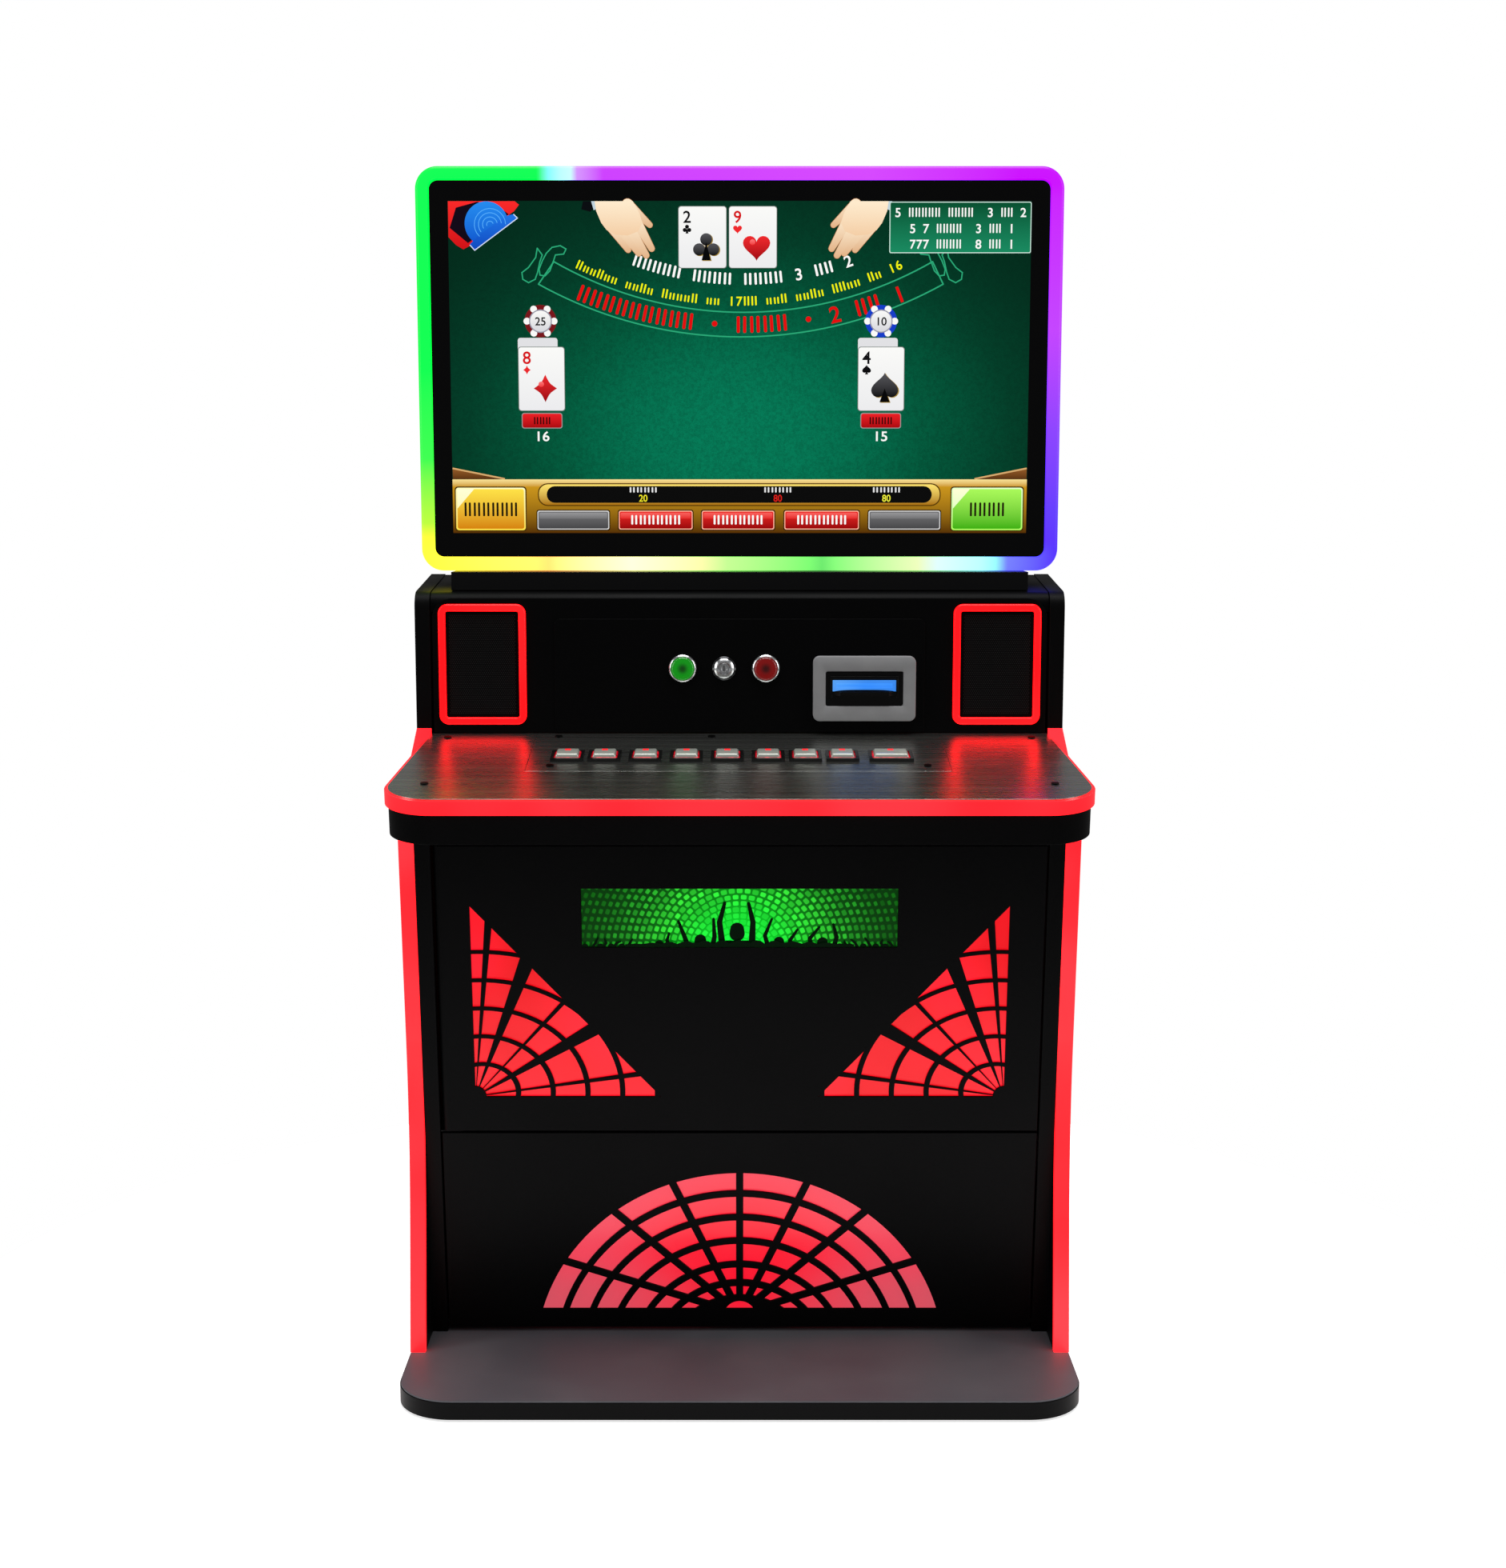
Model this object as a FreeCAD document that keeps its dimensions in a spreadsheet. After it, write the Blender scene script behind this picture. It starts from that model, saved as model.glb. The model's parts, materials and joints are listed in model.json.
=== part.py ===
"""Upright video gaming cabinet: lit side panels, two lit doors, a button deck, a head and a monitor.

Millimetres. X runs to the player's right, -Y faces the player and +Z is up.
The origin is the centre of the floor outline, at floor level.
"""
import FreeCAD, Part
import math
import os
import re
import Sketcher
from FreeCAD import Placement, Rotation, Vector

SIZES = {
    # base
    "cabinet_width": 790.0, "base_depth": 537.0, "base_corner": 66.0, "base_rear_corner": 8.0,
    "foot_height": 3.0, "foot_radius": 25.0, "foot_inset": 75.0,
    "base_thickness": 20.0, "tread_thickness": 2.0, "tread_inset": 1.0,
    # side panels and their lit front edges
    "panel_thickness": 18.0, "panel_toe": -126.5, "knee_height": 294.7, "knee_radius": 900.0,
    "nose_height": 671.0, "nose_radius": 20.0, "shoulder_lift": 6.5,
    "light_depth": 8.0, "light_lift": 6.0,
    # head
    "head_face": 28.5, "head_front_height": 925.5, "head_top_slope": 6.3, "ridge_place": 182.0,
    "back_face": 258.0, "back_height": 780.0, "head_corner": 20.0, "cover_inset": 1.0,
    "cover_front": 33.5, "cover_bottom": 903.0, "sheet": 2.5, "side_gap": 0.5,
    "head_panel_margin": 3.0, "head_panel_face": 30.0, "head_panel_thickness": 3.0,
    "head_panel_lift": 0.8, "head_panel_drop": 6.0, "head_panel_corner": 25.0,
    "speaker_place": 313.5, "speaker_height": 838.9, "speaker_width": 106.5, "speaker_tall": 147.0,
    "speaker_band": 8.7, "speaker_corner": 11.5, "speaker_light_face": 26.5,
    "grille_thickness": 1.2, "driver_radius": 38.0, "driver_plate_tall": 124.0,
    "driver_depth": 34.0, "magnet_radius": 26.0,
    "plate_half": 225.5, "plate_lift": 1.5, "plate_top": 894.5, "plate_corner": 7.0,
    "hatch_half": 205.0, "hatch_bottom": 766.0, "hatch_top": 884.0,
    # control plate hardware
    "control_height": 834.3, "green_place": -69.5, "red_place": 31.9, "lock_place": -19.0,
    "bezel_radius": 17.15, "bezel_height": 6.0, "lens_radius": 13.8, "lens_proud": 2.5,
    "lens_thickness": 4.5, "press_travel": 3.0, "barrel_radius": 11.8, "barrel_length": 34.0,
    "stem_radius": 5.0, "stem_length": 22.0, "press_gap": 0.4, "run_gap": 0.1,
    "lock_flange": 14.5, "lock_flange_height": 2.0, "lock_radius": 11.35, "lock_height": 5.0,
    "lock_length": 26.0, "key_radius": 7.0, "key_length": 20.0, "key_slot_width": 2.2,
    "key_slot_length": 9.0, "key_slot_depth": 4.0,
    # bill acceptor
    "bill_place": 151.85, "bill_height": 810.0, "bezel_width": 125.0, "bezel_tall": 79.3,
    "bezel_depth": 10.0, "bezel_round": 8.0, "mouth_width": 94.5, "mouth_tall": 42.6,
    "slot_width": 68.0, "slot_tall": 6.0, "slot_height": 813.5, "slot_light_width": 77.0,
    "slot_light_tall": 13.5, "slot_light_depth": 3.0, "mouth_depth": 12.0, "lip_reach": 14.0,
    "validator_width": 100.0, "validator_tall": 80.0, "validator_depth": 150.0,
    "bill_path": 110.0, "stacker_width": 90.0, "stacker_tall": 170.0, "stacker_depth": 110.0,
    "stacker_gap": 0.5, "fit_gap": 0.3,
    # plinth and monitor
    "plinth_half": 352.5, "plinth_face": 50.5, "plinth_back": 180.0, "plinth_rise": 24.8,
    "monitor_width": 788.0, "monitor_tall": 488.2, "monitor_corner": 27.0, "halo_band": 17.0,
    "glass_face": 90.5, "glass_thickness": 3.0, "halo_depth": 16.0, "halo_step": 0.5,
    "housing_back": 150.0, "housing_wall": 3.0, "housing_inset": 1.0,
    "lcd_width": 726.0, "lcd_tall": 424.0, "lcd_depth": 12.0,
    "bracket_width": 220.0, "bracket_plate": 4.0, "bracket_tall": 300.0, "bracket_foot": 26.0,
    # leaning front
    "door_foot": -61.5, "door_lean": 7.0, "post_width": 18.5, "post_depth": 18.0,
    "door_gap": 2.5, "seam_place": 265.0, "seam_gap": 3.0,
    "sill_gap": 3.0, "upper_door_top": 622.0, "rail_tall": 15.0, "rail_gap": 3.0,
    "door_depth": 16.0, "door_skin": 3.0, "hinge_round": 8.0, "mid_rail_back": 40.0,
    "rail_setback": 22.0, "pin_radius": 3.0, "lug_thickness": 1.4, "lug_reach": 34.0,
    "diffuser": 3.0, "diffuser_margin": 7.0,
    "banner_width": 369.0, "banner_bottom": 498.5, "banner_tall": 71.8,
    # upper webs, in the leaning plane
    "web_outer": 315.0, "web_inner": 93.7, "web_bottom": 310.3, "web_top": 549.1,
    "web_eye_place": 305.0, "web_eye_lift": 6.0, "web_ring_across": 41.4, "web_ring_up": 35.2,
    "web_line_across": 6.2, "web_line_up": 4.3, "web_hub": 13.0,
    # lower web
    "fan_chord": 30.8, "fan_drop": 70.5, "fan_radius": 251.0, "fan_pitch": 31.2, "fan_cell": 23.2,
    "fan_spoke": 8.8, "fan_hub_drop": 7.0, "fan_row_five_out": 126.0, "fan_row_five_in": 109.5,
    "fan_row_six_out": 101.0, "fan_row_six_in": 89.0, "fan_eye_radius": 19.1, "fan_eye_drop": 8.7,
    # deck
    "deck_height": 754.5, "deck_slope": 8.13, "deck_depth": 285.2, "deck_flare": 226.0,
    "deck_corner": 55.0, "deck_plate": 2.0,
    "deck_light_tall": 16.0, "deck_light_proud": 4.0, "tray_tall": 51.0, "tray_wall": 3.0,
    "tray_clearance": 1.5, "tray_side_gap": 0.8, "key_margin_left": 25.75, "key_margin_right": 40.5,
    "button_plate_depth": 172.0, "seam": 0.4,
    "button_row": 112.7, "button_start": -202.0, "narrow_space": 5.0, "wide_space": 9.5,
    "end_space": 11.75, "key_base": 38.5, "last_base": 52.0, "key_rim": 4.0, "key_rise": 8.0,
    "key_travel": 3.5, "key_wall": 3.75, "key_skirt": 5.0, "key_body": 30.0, "key_gap": 0.5,
    "screw_head": 4.5, "screw_head_tall": 1.6, "screw_shank": 2.2, "screw_length": 9.0,
    # back
    "back_thickness": 18.0, "opening_half": 330.0, "opening_bottom": 130.0, "opening_top": 640.0,
    "rear_gap": 2.5, "rear_door_thickness": 16.0, "rear_axis_out": 4.0, "knuckle_radius": 3.5,
    "leaf_thickness": 1.2, "leaf_width": 24.0, "knuckle_length": 70.0, "knuckle_end_gap": 0.5,
    "rear_pin_radius": 1.6,
    "fan_place": 180.0, "fan_height": 520.0, "fan_size": 119.0, "fan_depth": 25.0,
    "fan_duct": 55.0, "fan_hub": 20.0, "blade_tip": 52.0, "blade_thickness": 1.8,
    "blade_depth": 16.0, "guard_thickness": 2.0, "guard_ring": 2.4, "guard_pitch": 11.0,
    "fan_shaft": 2.0, "fan_strut": 2.8, "fan_float": 1.2,
    "inlet_place": 250.0, "inlet_height": 78.0, "inlet_width": 27.4, "inlet_tall": 48.0,
    "inlet_flange": 50.0, "inlet_flange_thickness": 2.5, "socket_width": 24.0,
    "socket_tall": 17.0, "socket_depth": 16.0, "inlet_body": 34.0, "inlet_pin": 4.0,
    "rocker_width": 13.0, "rocker_radius": 11.0, "rocker_lift": 12.5, "rocker_flat": 6.5,
    "rocker_tilt": 12.0, "rocker_sink": 5.5,
    # inside
    "computer_width": 300.0, "computer_depth": 220.0, "computer_tall": 120.0,
    "supply_width": 160.0, "supply_depth": 140.0, "supply_tall": 70.0, "inside_front": -10.0,
}

doc = FreeCAD.newDocument("gaming_cabinet")
sheet = doc.addObject("Spreadsheet::Sheet", "sizes")
for row, (alias, number) in enumerate(SIZES.items(), 1):
    sheet.set(f"A{row}", alias)
    sheet.set(f"B{row}", str(number))
    sheet.setAlias(f"B{row}", alias)
doc.recompute()

nodes = []
outlines = {}


def size(alias):
    """Read one size from the sheet."""
    return float(sheet.get(alias))


def formula(text):
    """Name the sheet in front of every size that an expression uses."""
    def named(found):
        word = found.group(0)
        return "sizes." + word if word in SIZES else word
    return re.sub(r"[A-Za-z_]\w*", named, str(text))


def bind(thing, **texts):
    """Bind properties of an object to expressions of the sheet's sizes."""
    for name, text in texts.items():
        thing.setExpression(name, formula(text))
    return thing


def place(thing, x="0", y="0", z="0", axis=None, angle=None):
    """Bind an object's Placement."""
    if axis is not None:
        thing.Placement = Placement(Vector(), Rotation(Vector(*axis), 1))
        thing.setExpression("Placement.Rotation.Angle", formula(angle))
    for name, text in (("x", x), ("y", y), ("z", z)):
        thing.setExpression("Placement.Base." + name, formula(text))
    return thing


def node(thing, name):
    """Make an object one of the finished sub-parts."""
    thing.Label = name
    nodes.append(thing)
    return thing


def box(name, x, y, z, length, width, height):
    """A block with its lowest corner at x, y, z."""
    block = bind(doc.addObject("Part::Box", name), Length=length, Width=width, Height=height)
    return place(block, x, y, z)


def slab(name, x_low, x_high, y_low, y_high, z_low, z_high):
    """A block between two corners."""
    spans = [f"({high})-({low})" for low, high in ((x_low, x_high), (y_low, y_high), (z_low, z_high))]
    return box(name, x_low, y_low, z_low, *spans)


AXES = {"x": ((0, 1, 0), "90"), "y": ((1, 0, 0), "-90"), "z": (None, None)}


def rod(name, along, x, y, z, radius, length):
    """A cylinder that starts at x, y, z and runs towards + on one axis."""
    cylinder = bind(doc.addObject("Part::Cylinder", name), Radius=radius, Height=length)
    axis, angle = AXES[along]
    return place(cylinder, x, y, z, axis, angle)


def union(name, things):
    """Join solids that are one piece."""
    joined = doc.addObject("Part::MultiFuse", name)
    joined.Shapes = things
    return joined


def group(name, things):
    """Hold separate solids together as one node."""
    held = doc.addObject("Part::Compound", name)
    held.Links = things
    return held


def cut(name, base, tool):
    """Take one or more tools away from a base."""
    left = doc.addObject("Part::Cut", name)
    left.Base = base
    left.Tool = tool if not isinstance(tool, list) else group(name + "_tools", tool)
    return left


def common(name, base, tool):
    """Keep what two solids share."""
    kept = doc.addObject("Part::Common", name)
    kept.Base = base
    kept.Tool = tool
    return kept


def feature(name, shape):
    """Hold a shape that neither a body nor a primitive makes."""
    held = doc.addObject("Part::Feature", name)
    held.Shape = shape
    return held


def pad(name, plane, corners, length, backwards=False):
    """A body whose straight-sided outline is padded off one of its origin planes."""
    body = doc.addObject("PartDesign::Body", name)
    sketch = body.newObject("Sketcher::SketchObject", name + "_outline")
    origin = [item for item in body.Origin.OriginFeatures if item.Role == plane][0]
    sketch.AttachmentSupport = [(origin, "")]
    sketch.MapMode = "FlatFace"
    count = len(corners)
    turns = [2 * math.pi * (index + 0.3) / count for index in range(count)]
    starts = [Vector(100 * math.cos(turn), 100 * math.sin(turn), 0) for turn in turns]
    for index in range(count):
        sketch.addGeometry(Part.LineSegment(starts[index], starts[(index + 1) % count]), False)
    for index in range(count):
        sketch.addConstraint(Sketcher.Constraint("Coincident", index, 2, (index + 1) % count, 1))
    for index, (across, up) in enumerate(corners):
        first = (("DistanceX", across, starts[index].x), ("DistanceY", up, starts[index].y))
        for kind, text, start in first:
            held = sketch.addConstraint(Sketcher.Constraint(kind, -1, 1, index, 1, start))
            sketch.setExpression(f"Constraints[{held}]", formula(text))
    padding = body.newObject("PartDesign::Pad", name + "_pad")
    padding.Profile = sketch
    padding.Reversed = backwards
    bind(padding, Length=length)
    outlines[name] = sketch
    return body


def corners_of(x_low, x_high, y_low, y_high):
    """The four corners of a rectangle, as outline points."""
    return [(x_low, y_low), (x_high, y_low), (x_high, y_high), (x_low, y_high)]


def round_corners(body, corners, radius):
    """Round the edges of a pad that stand on some corners of its outline."""
    doc.recompute()
    sketch = outlines[body.Name]
    points = [sketch.Placement.multVec(sketch.Geometry[index].StartPoint) for index in corners]
    normal = sketch.Placement.Rotation.multVec(Vector(0, 0, 1))
    base = body.Tip
    names = []
    for index, edge in enumerate(base.Shape.Edges, 1):
        upright = abs(edge.tangentAt(edge.FirstParameter).dot(normal)) > 0.99
        at_corner = any(end.Point.distanceToPoint(point) < 1e-6 for end in edge.Vertexes for point in points)
        if upright and at_corner:
            names.append(f"Edge{index}")
    rounding = body.newObject("PartDesign::Fillet", f"{body.Name}_round_{len(body.Group)}")
    rounding.Base = (base, names)
    bind(rounding, Radius=radius)
    return body


def hollow(body, wall, is_open):
    """Leave a wall of a body and open the faces that a test on their middle chooses."""
    doc.recompute()
    base = body.Tip
    faces = [f"Face{index}" for index, face in enumerate(base.Shape.Faces, 1) if is_open(face)]
    shell = body.newObject("PartDesign::Thickness", body.Name + "_shell")
    shell.Base = (base, faces)
    shell.Reversed = True
    bind(shell, Value=wall)
    return body


FLOOR = "(foot_height+base_thickness+tread_thickness)"
HALF = "(cabinet_width/2)"
SHOULDER = "(deck_height+shoulder_lift)"
HEAD_LOW = "(deck_height+head_panel_lift)"
HEAD_HIGH = "(head_front_height-head_panel_drop)"
MONITOR_LOW = "(head_front_height+plinth_rise)"
INSIDE = "(cabinet_width/2-panel_thickness)"


# Base: rubber feet, a black board and a grey tread plate on it.
def base_outline(name, inset, thickness, height):
    plate = pad(name, "XY_Plane", corners_of(
        f"-{HALF}+{inset}", f"{HALF}-{inset}",
        f"-base_depth/2+{inset}", f"base_depth/2-{inset}"), thickness)
    round_corners(plate, (0, 1), f"base_corner-{inset}")
    round_corners(plate, (2, 3), f"base_rear_corner-{inset}")
    return place(plate, z=height)


feet = []
for column in (-1, 0, 1):
    for line in (-1, 1):
        feet.append(rod(f"foot_{len(feet) + 1}", "z", f"{column}*({HALF}-foot_inset)",
                        f"{line}*(base_depth/2-foot_inset)", "0", "foot_radius", "foot_height"))
node(group("feet_group", feet), "base_feet")
node(base_outline("base_board", "0", "base_thickness", "foot_height"), "base_plate")
node(base_outline("tread_sheet", "tread_inset", "tread_thickness", "foot_height+base_thickness"),
     "base_tread")


# Side panels: one board a side, with a lit edge let into its front from the floor to the head.
def on_lean(height):
    return f"door_foot-(({height})-({FLOOR}))*tan(door_lean)"


def on_top(depth):
    return f"head_front_height+(({depth})-head_face)*tan(head_top_slope)"


def panel_blank(name, thickness, x, y="0", z="0"):
    blank = pad(name, "YZ_Plane", [
        ("panel_toe", FLOOR), (on_lean("knee_height"), "knee_height"),
        (on_lean("nose_height"), "nose_height"), ("head_face", SHOULDER),
        ("head_face", "head_front_height"), ("ridge_place", on_top("ridge_place")),
        ("back_face", "back_height"), ("back_face", FLOOR)], thickness)
    round_corners(blank, (1,), "knee_radius")
    round_corners(blank, (2,), "nose_radius")
    round_corners(blank, (4,), "head_corner")
    return place(blank, x, y, z)


for side, low in (("left", f"-{HALF}"), ("right", INSIDE)):
    blank = panel_blank(f"blank_{side}", "panel_thickness", low)
    behind = panel_blank(f"behind_{side}", "panel_thickness+2", f"{low}-1", "light_depth", "-light_lift")
    front = slab(f"front_{side}", low, f"{low}+panel_thickness", "-base_depth/2",
                 "head_face-side_gap", FLOOR, SHOULDER)
    strip = common(f"strip_{side}", cut(f"skin_{side}", blank, behind), front)
    node(strip, f"edge_light_{side}")
    node(cut(f"board_{side}", blank, strip), f"side_panel_{side}")


# Leaning front frame: everything here is built upright and leans as a whole.
def lean(thing):
    return place(thing, "0", "door_foot", FLOOR, (1, 0, 0), "door_lean")


DOOR_HALF = f"({INSIDE}-post_width-door_gap)"
LOWER_TOP = "(seam_place-seam_gap/2)"
UPPER_BOTTOM = "(seam_place+seam_gap/2)"
FLAP_AXIS = "(sill_gap+hinge_round)"
DOOR_AXIS = f"(hinge_round-{DOOR_HALF})"
RAIL_BOTTOM = "(upper_door_top+rail_gap)"

posts = []
for side, low in (("left", f"-({INSIDE})"), ("right", f"{INSIDE}-post_width")):
    post = box(f"post_{side}", low, "0", "0", "post_width", "post_depth", RAIL_BOTTOM)
    hole = rod(f"post_hole_{side}", "x", low, "hinge_round", FLAP_AXIS, "pin_radius+run_gap", "post_width")
    posts.append(cut(f"post_drilled_{side}", post, hole))
node(lean(group("posts_group", posts)), "door_posts")

top_rail = slab("top_rail", f"-({INSIDE})", INSIDE, "0", "post_depth",
                RAIL_BOTTOM, f"{RAIL_BOTTOM}+rail_tall")
top_hole = rod("top_rail_hole", "z", DOOR_AXIS, "hinge_round", RAIL_BOTTOM, "pin_radius+run_gap", "rail_tall")
mid_rail = slab("mid_rail", f"-({INSIDE})", INSIDE, "rail_setback", "mid_rail_back",
                "seam_place-rail_tall", "seam_place+rail_tall")
node(lean(group("rails_group", [cut("top_rail_drilled", top_rail, top_hole), mid_rail])), "cross_rails")


# Door pans: a steel sheet folded back all round, with the hinge edge rounded about its pin.
def door_pan(name, plane, corners, length, rounded, skin_test):
    pan = pad(name, plane, corners, length)
    round_corners(pan, (rounded,), "hinge_round")
    return hollow(pan, "door_skin", skin_test)


def faces_back(face):
    return face.BoundBox.YLength < 1e-6 and face.CenterOfMass.y > size("door_depth") - 1e-6


def flat_region(points):
    """A flat face in the X-Z plane from its corner points."""
    wire = Part.makePolygon([Vector(across, 0, up) for across, up in points + points[:1]])
    return Part.Face(wire)


def ellipse_region(across, up, radius_across, radius_up):
    """A flat ellipse in the X-Z plane."""
    curve = Part.Circle(Vector(0, 0, 0), Vector(0, -1, 0), 1).toShape()
    stretch = FreeCAD.Matrix()
    stretch.scale(radius_across, 1, radius_up)
    stretch.move(across, 0, up)
    return Part.Face(Part.Wire(curve.transformGeometry(stretch)))


def ray_region(across, up, turn, width, reach, root=0.0):
    """A flat spoke that starts at a point, leans by turn from upright and widens to width at reach."""
    turn = math.radians(turn)
    along = (math.sin(turn), math.cos(turn))
    aside = (along[1], -along[0])
    points = []
    for step, half in ((0, root / 2), (reach, width / 2)):
        for hand in (-1, 1):
            points.append((across + along[0] * step + hand * aside[0] * half,
                           up + along[1] * step + hand * aside[1] * half))
    if root == 0.0:
        return flat_region([points[0], points[2], points[3]])
    return flat_region([points[0], points[2], points[3], points[1]])


# Upper webs: a right-angled window crossed by elliptical rings and tapering spokes.
WEB_SPOKES = ((5.6, 8.0, 200.0), (21.0, 17.0, 170.0), (42.0, 4.7, 150.0), (59.0, 17.0, 170.0),
              (81.7, 5.5, 200.0))
WEB_RINGS = 6


def corner_web(hand):
    outer, inner = size("web_outer"), size("web_inner")
    bottom, top = size("web_bottom"), size("web_top")
    eye, eye_up = size("web_eye_place"), bottom + size("web_eye_lift")
    window = flat_region([(outer, bottom), (outer, top), (inner, bottom)])
    bars = [ellipse_region(outer, bottom, size("web_hub"), size("web_hub"))]
    for ring in range(1, WEB_RINGS):
        across, up = size("web_ring_across") * ring, size("web_ring_up") * ring
        half_across, half_up = size("web_line_across") / 2, size("web_line_up") / 2
        outside = ellipse_region(eye, eye_up, across + half_across, up + half_up)
        bars.append(outside.cut(ellipse_region(eye, eye_up, across - half_across, up - half_up)))
    reach = 2 * (top - bottom)
    for turn, width, place_of_width in WEB_SPOKES:
        bars.append(ray_region(outer, bottom, -turn, width * reach / place_of_width, reach))
    cells = window.cut(bars).extrude(Vector(0, 3 * size("door_skin"), 0))
    cells.translate(Vector(0, -size("door_skin"), 0))
    if hand < 0:
        return cells.mirror(Vector(), Vector(1, 0, 0))
    return cells


# Lower web: a half-round window of rows between arcs, crossed by straight spokes.
FAN_SPOKES = (-71.6, -48.0, -25.0, 0.0, 25.0, 48.0, 71.6)
FAN_FULL_ROWS = 4


def fan_web():
    chord, low = size("fan_chord"), size("fan_chord") - size("fan_drop")
    rows = []
    for row in range(FAN_FULL_ROWS):
        outside = size("fan_radius") - row * size("fan_pitch")
        rows.append((outside, outside - size("fan_cell")))
    rows.append((size("fan_row_five_out"), size("fan_row_five_in")))
    rows.append((size("fan_row_six_out"), size("fan_row_six_in")))
    wide = 2 * size("fan_radius")
    below = flat_region([(-wide, chord), (wide, chord), (wide, chord - wide), (-wide, chord - wide)])
    spokes = [ray_region(0, chord - size("fan_hub_drop"), turn, size("fan_spoke"), wide,
                         size("fan_spoke")) for turn in FAN_SPOKES]
    cells = []
    for outside, inside in rows:
        band = ellipse_region(0, low, outside, outside).cut(ellipse_region(0, low, inside, inside))
        cells += band.cut([below] + spokes).Faces
    eye = size("fan_eye_radius")
    cells += ellipse_region(0, chord - size("fan_eye_drop"), eye, eye).cut(below).Faces
    solids = []
    for face in cells:
        solid = face.extrude(Vector(0, 3 * size("door_skin"), 0))
        solid.translate(Vector(0, -size("door_skin"), 0))
        solids.append(solid)
    return Part.makeCompound(solids)


upper_pan = door_pan("upper_pan", "XY_Plane", corners_of(
    f"-({DOOR_HALF})", DOOR_HALF, "0", "door_depth"), f"upper_door_top-({UPPER_BOTTOM})", 0, faces_back)
place(upper_pan, z=UPPER_BOTTOM)
banner_hole = slab("banner_hole", "-banner_width/2", "banner_width/2", "-door_skin", "2*door_skin",
                   "banner_bottom", "banner_bottom+banner_tall")
door_bore = rod("upper_bore", "z", DOOR_AXIS, "hinge_round", "0", "pin_radius+run_gap", RAIL_BOTTOM)
upper_cut = cut("upper_cut", upper_pan, [
    feature("left_web", corner_web(-1)), feature("right_web", corner_web(1)), banner_hole, door_bore])
node(lean(upper_cut), "upper_door")

sheets = []
for side, hand in (("left", "-1"), ("right", "1")):
    ends = {"outer": f"{hand}*(web_outer+diffuser_margin)", "inner": f"{hand}*(web_inner-diffuser_margin)",
            "beside": f"{hand}*(banner_width/2+diffuser_margin+seam)"}
    for level, far, low, high in (
            ("low", "inner", "web_bottom-diffuser_margin", "banner_bottom-diffuser_margin-seam"),
            ("high", "beside", "banner_bottom-diffuser_margin-seam-1", "web_top+diffuser_margin")):
        span = (ends["outer"], ends[far]) if side == "left" else (ends[far], ends["outer"])
        sheets.append(slab(f"web_sheet_{side}_{level}", *span, "door_skin+run_gap",
                           "door_skin+run_gap+diffuser", low, high))
joined = [union("web_diffuser_left", sheets[:2]), union("web_diffuser_right", sheets[2:])]
node(lean(group("upper_diffusers", joined)), "upper_door_diffusers")
banner = slab("banner_sheet", "-banner_width/2-diffuser_margin", "banner_width/2+diffuser_margin",
              "door_skin+run_gap", "door_skin+run_gap+diffuser", "banner_bottom-diffuser_margin",
              "banner_bottom+banner_tall+diffuser_margin")
node(lean(group("banner_group", [banner])), "banner_panel")

lower_pan = door_pan("lower_pan", "YZ_Plane", corners_of("0", "door_depth", "sill_gap", LOWER_TOP),
                     f"2*({DOOR_HALF})", 0, faces_back)
place(lower_pan, x=f"-({DOOR_HALF})")
flap_bore = rod("flap_bore", "x", f"-({INSIDE})", "hinge_round", FLAP_AXIS,
                "pin_radius+run_gap", f"2*({INSIDE})")
node(lean(cut("lower_cut", lower_pan, [feature("fan_cells", fan_web()), flap_bore])), "lower_door")
fan_sheet = slab("fan_sheet", "-fan_radius-diffuser_margin", "fan_radius+diffuser_margin",
                 "door_skin+run_gap", "door_skin+run_gap+diffuser", "fan_chord-diffuser_margin",
                 "fan_chord-fan_drop+fan_radius+diffuser_margin")
node(lean(group("fan_sheet_group", [fan_sheet])), "lower_door_diffuser")


# Hinge hardware that stays on the cabinet: the door pins, the lug in the seam, and the rear leaf.
PIN_IN = "(door_skin+door_gap+pin_radius)"
leaning_pins = []
for side, low in (("left", f"-({INSIDE})"), ("right", f"{INSIDE}-post_width-{PIN_IN}")):
    leaning_pins.append(rod(f"flap_pin_{side}", "x", low, "hinge_round", FLAP_AXIS,
                            "pin_radius", f"post_width+{PIN_IN}"))
leaning_pins.append(rod("door_pin_top", "z", DOOR_AXIS, "hinge_round", f"upper_door_top-{PIN_IN}",
                        "pin_radius", f"{PIN_IN}+rail_gap+rail_tall"))
lug = slab("door_lug", f"-({INSIDE}-post_width)", f"-({INSIDE}-post_width)+lug_reach-hinge_round",
           "hinge_round-pin_radius*1.6", "hinge_round+pin_radius*1.6",
           "seam_place-lug_thickness/2", "seam_place+lug_thickness/2")
stub = rod("door_pin_bottom", "z", DOOR_AXIS, "hinge_round", "seam_place", "pin_radius",
           f"seam_gap/2+{PIN_IN}")
leaning_pins.append(union("door_lug_and_pin", [lug, stub]))
pins = lean(group("leaning_pins", leaning_pins))


# Back: a board with a service opening, its hinged door, a fan in the door, and the power inlet.
REAR_AXIS_X = "(-opening_half)"
REAR_AXIS_Y = "(back_face+rear_axis_out)"
KNUCKLES = 5


def knuckle_bottom(index):
    return f"(opening_bottom+rear_gap+{index}*knuckle_length)"


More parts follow.
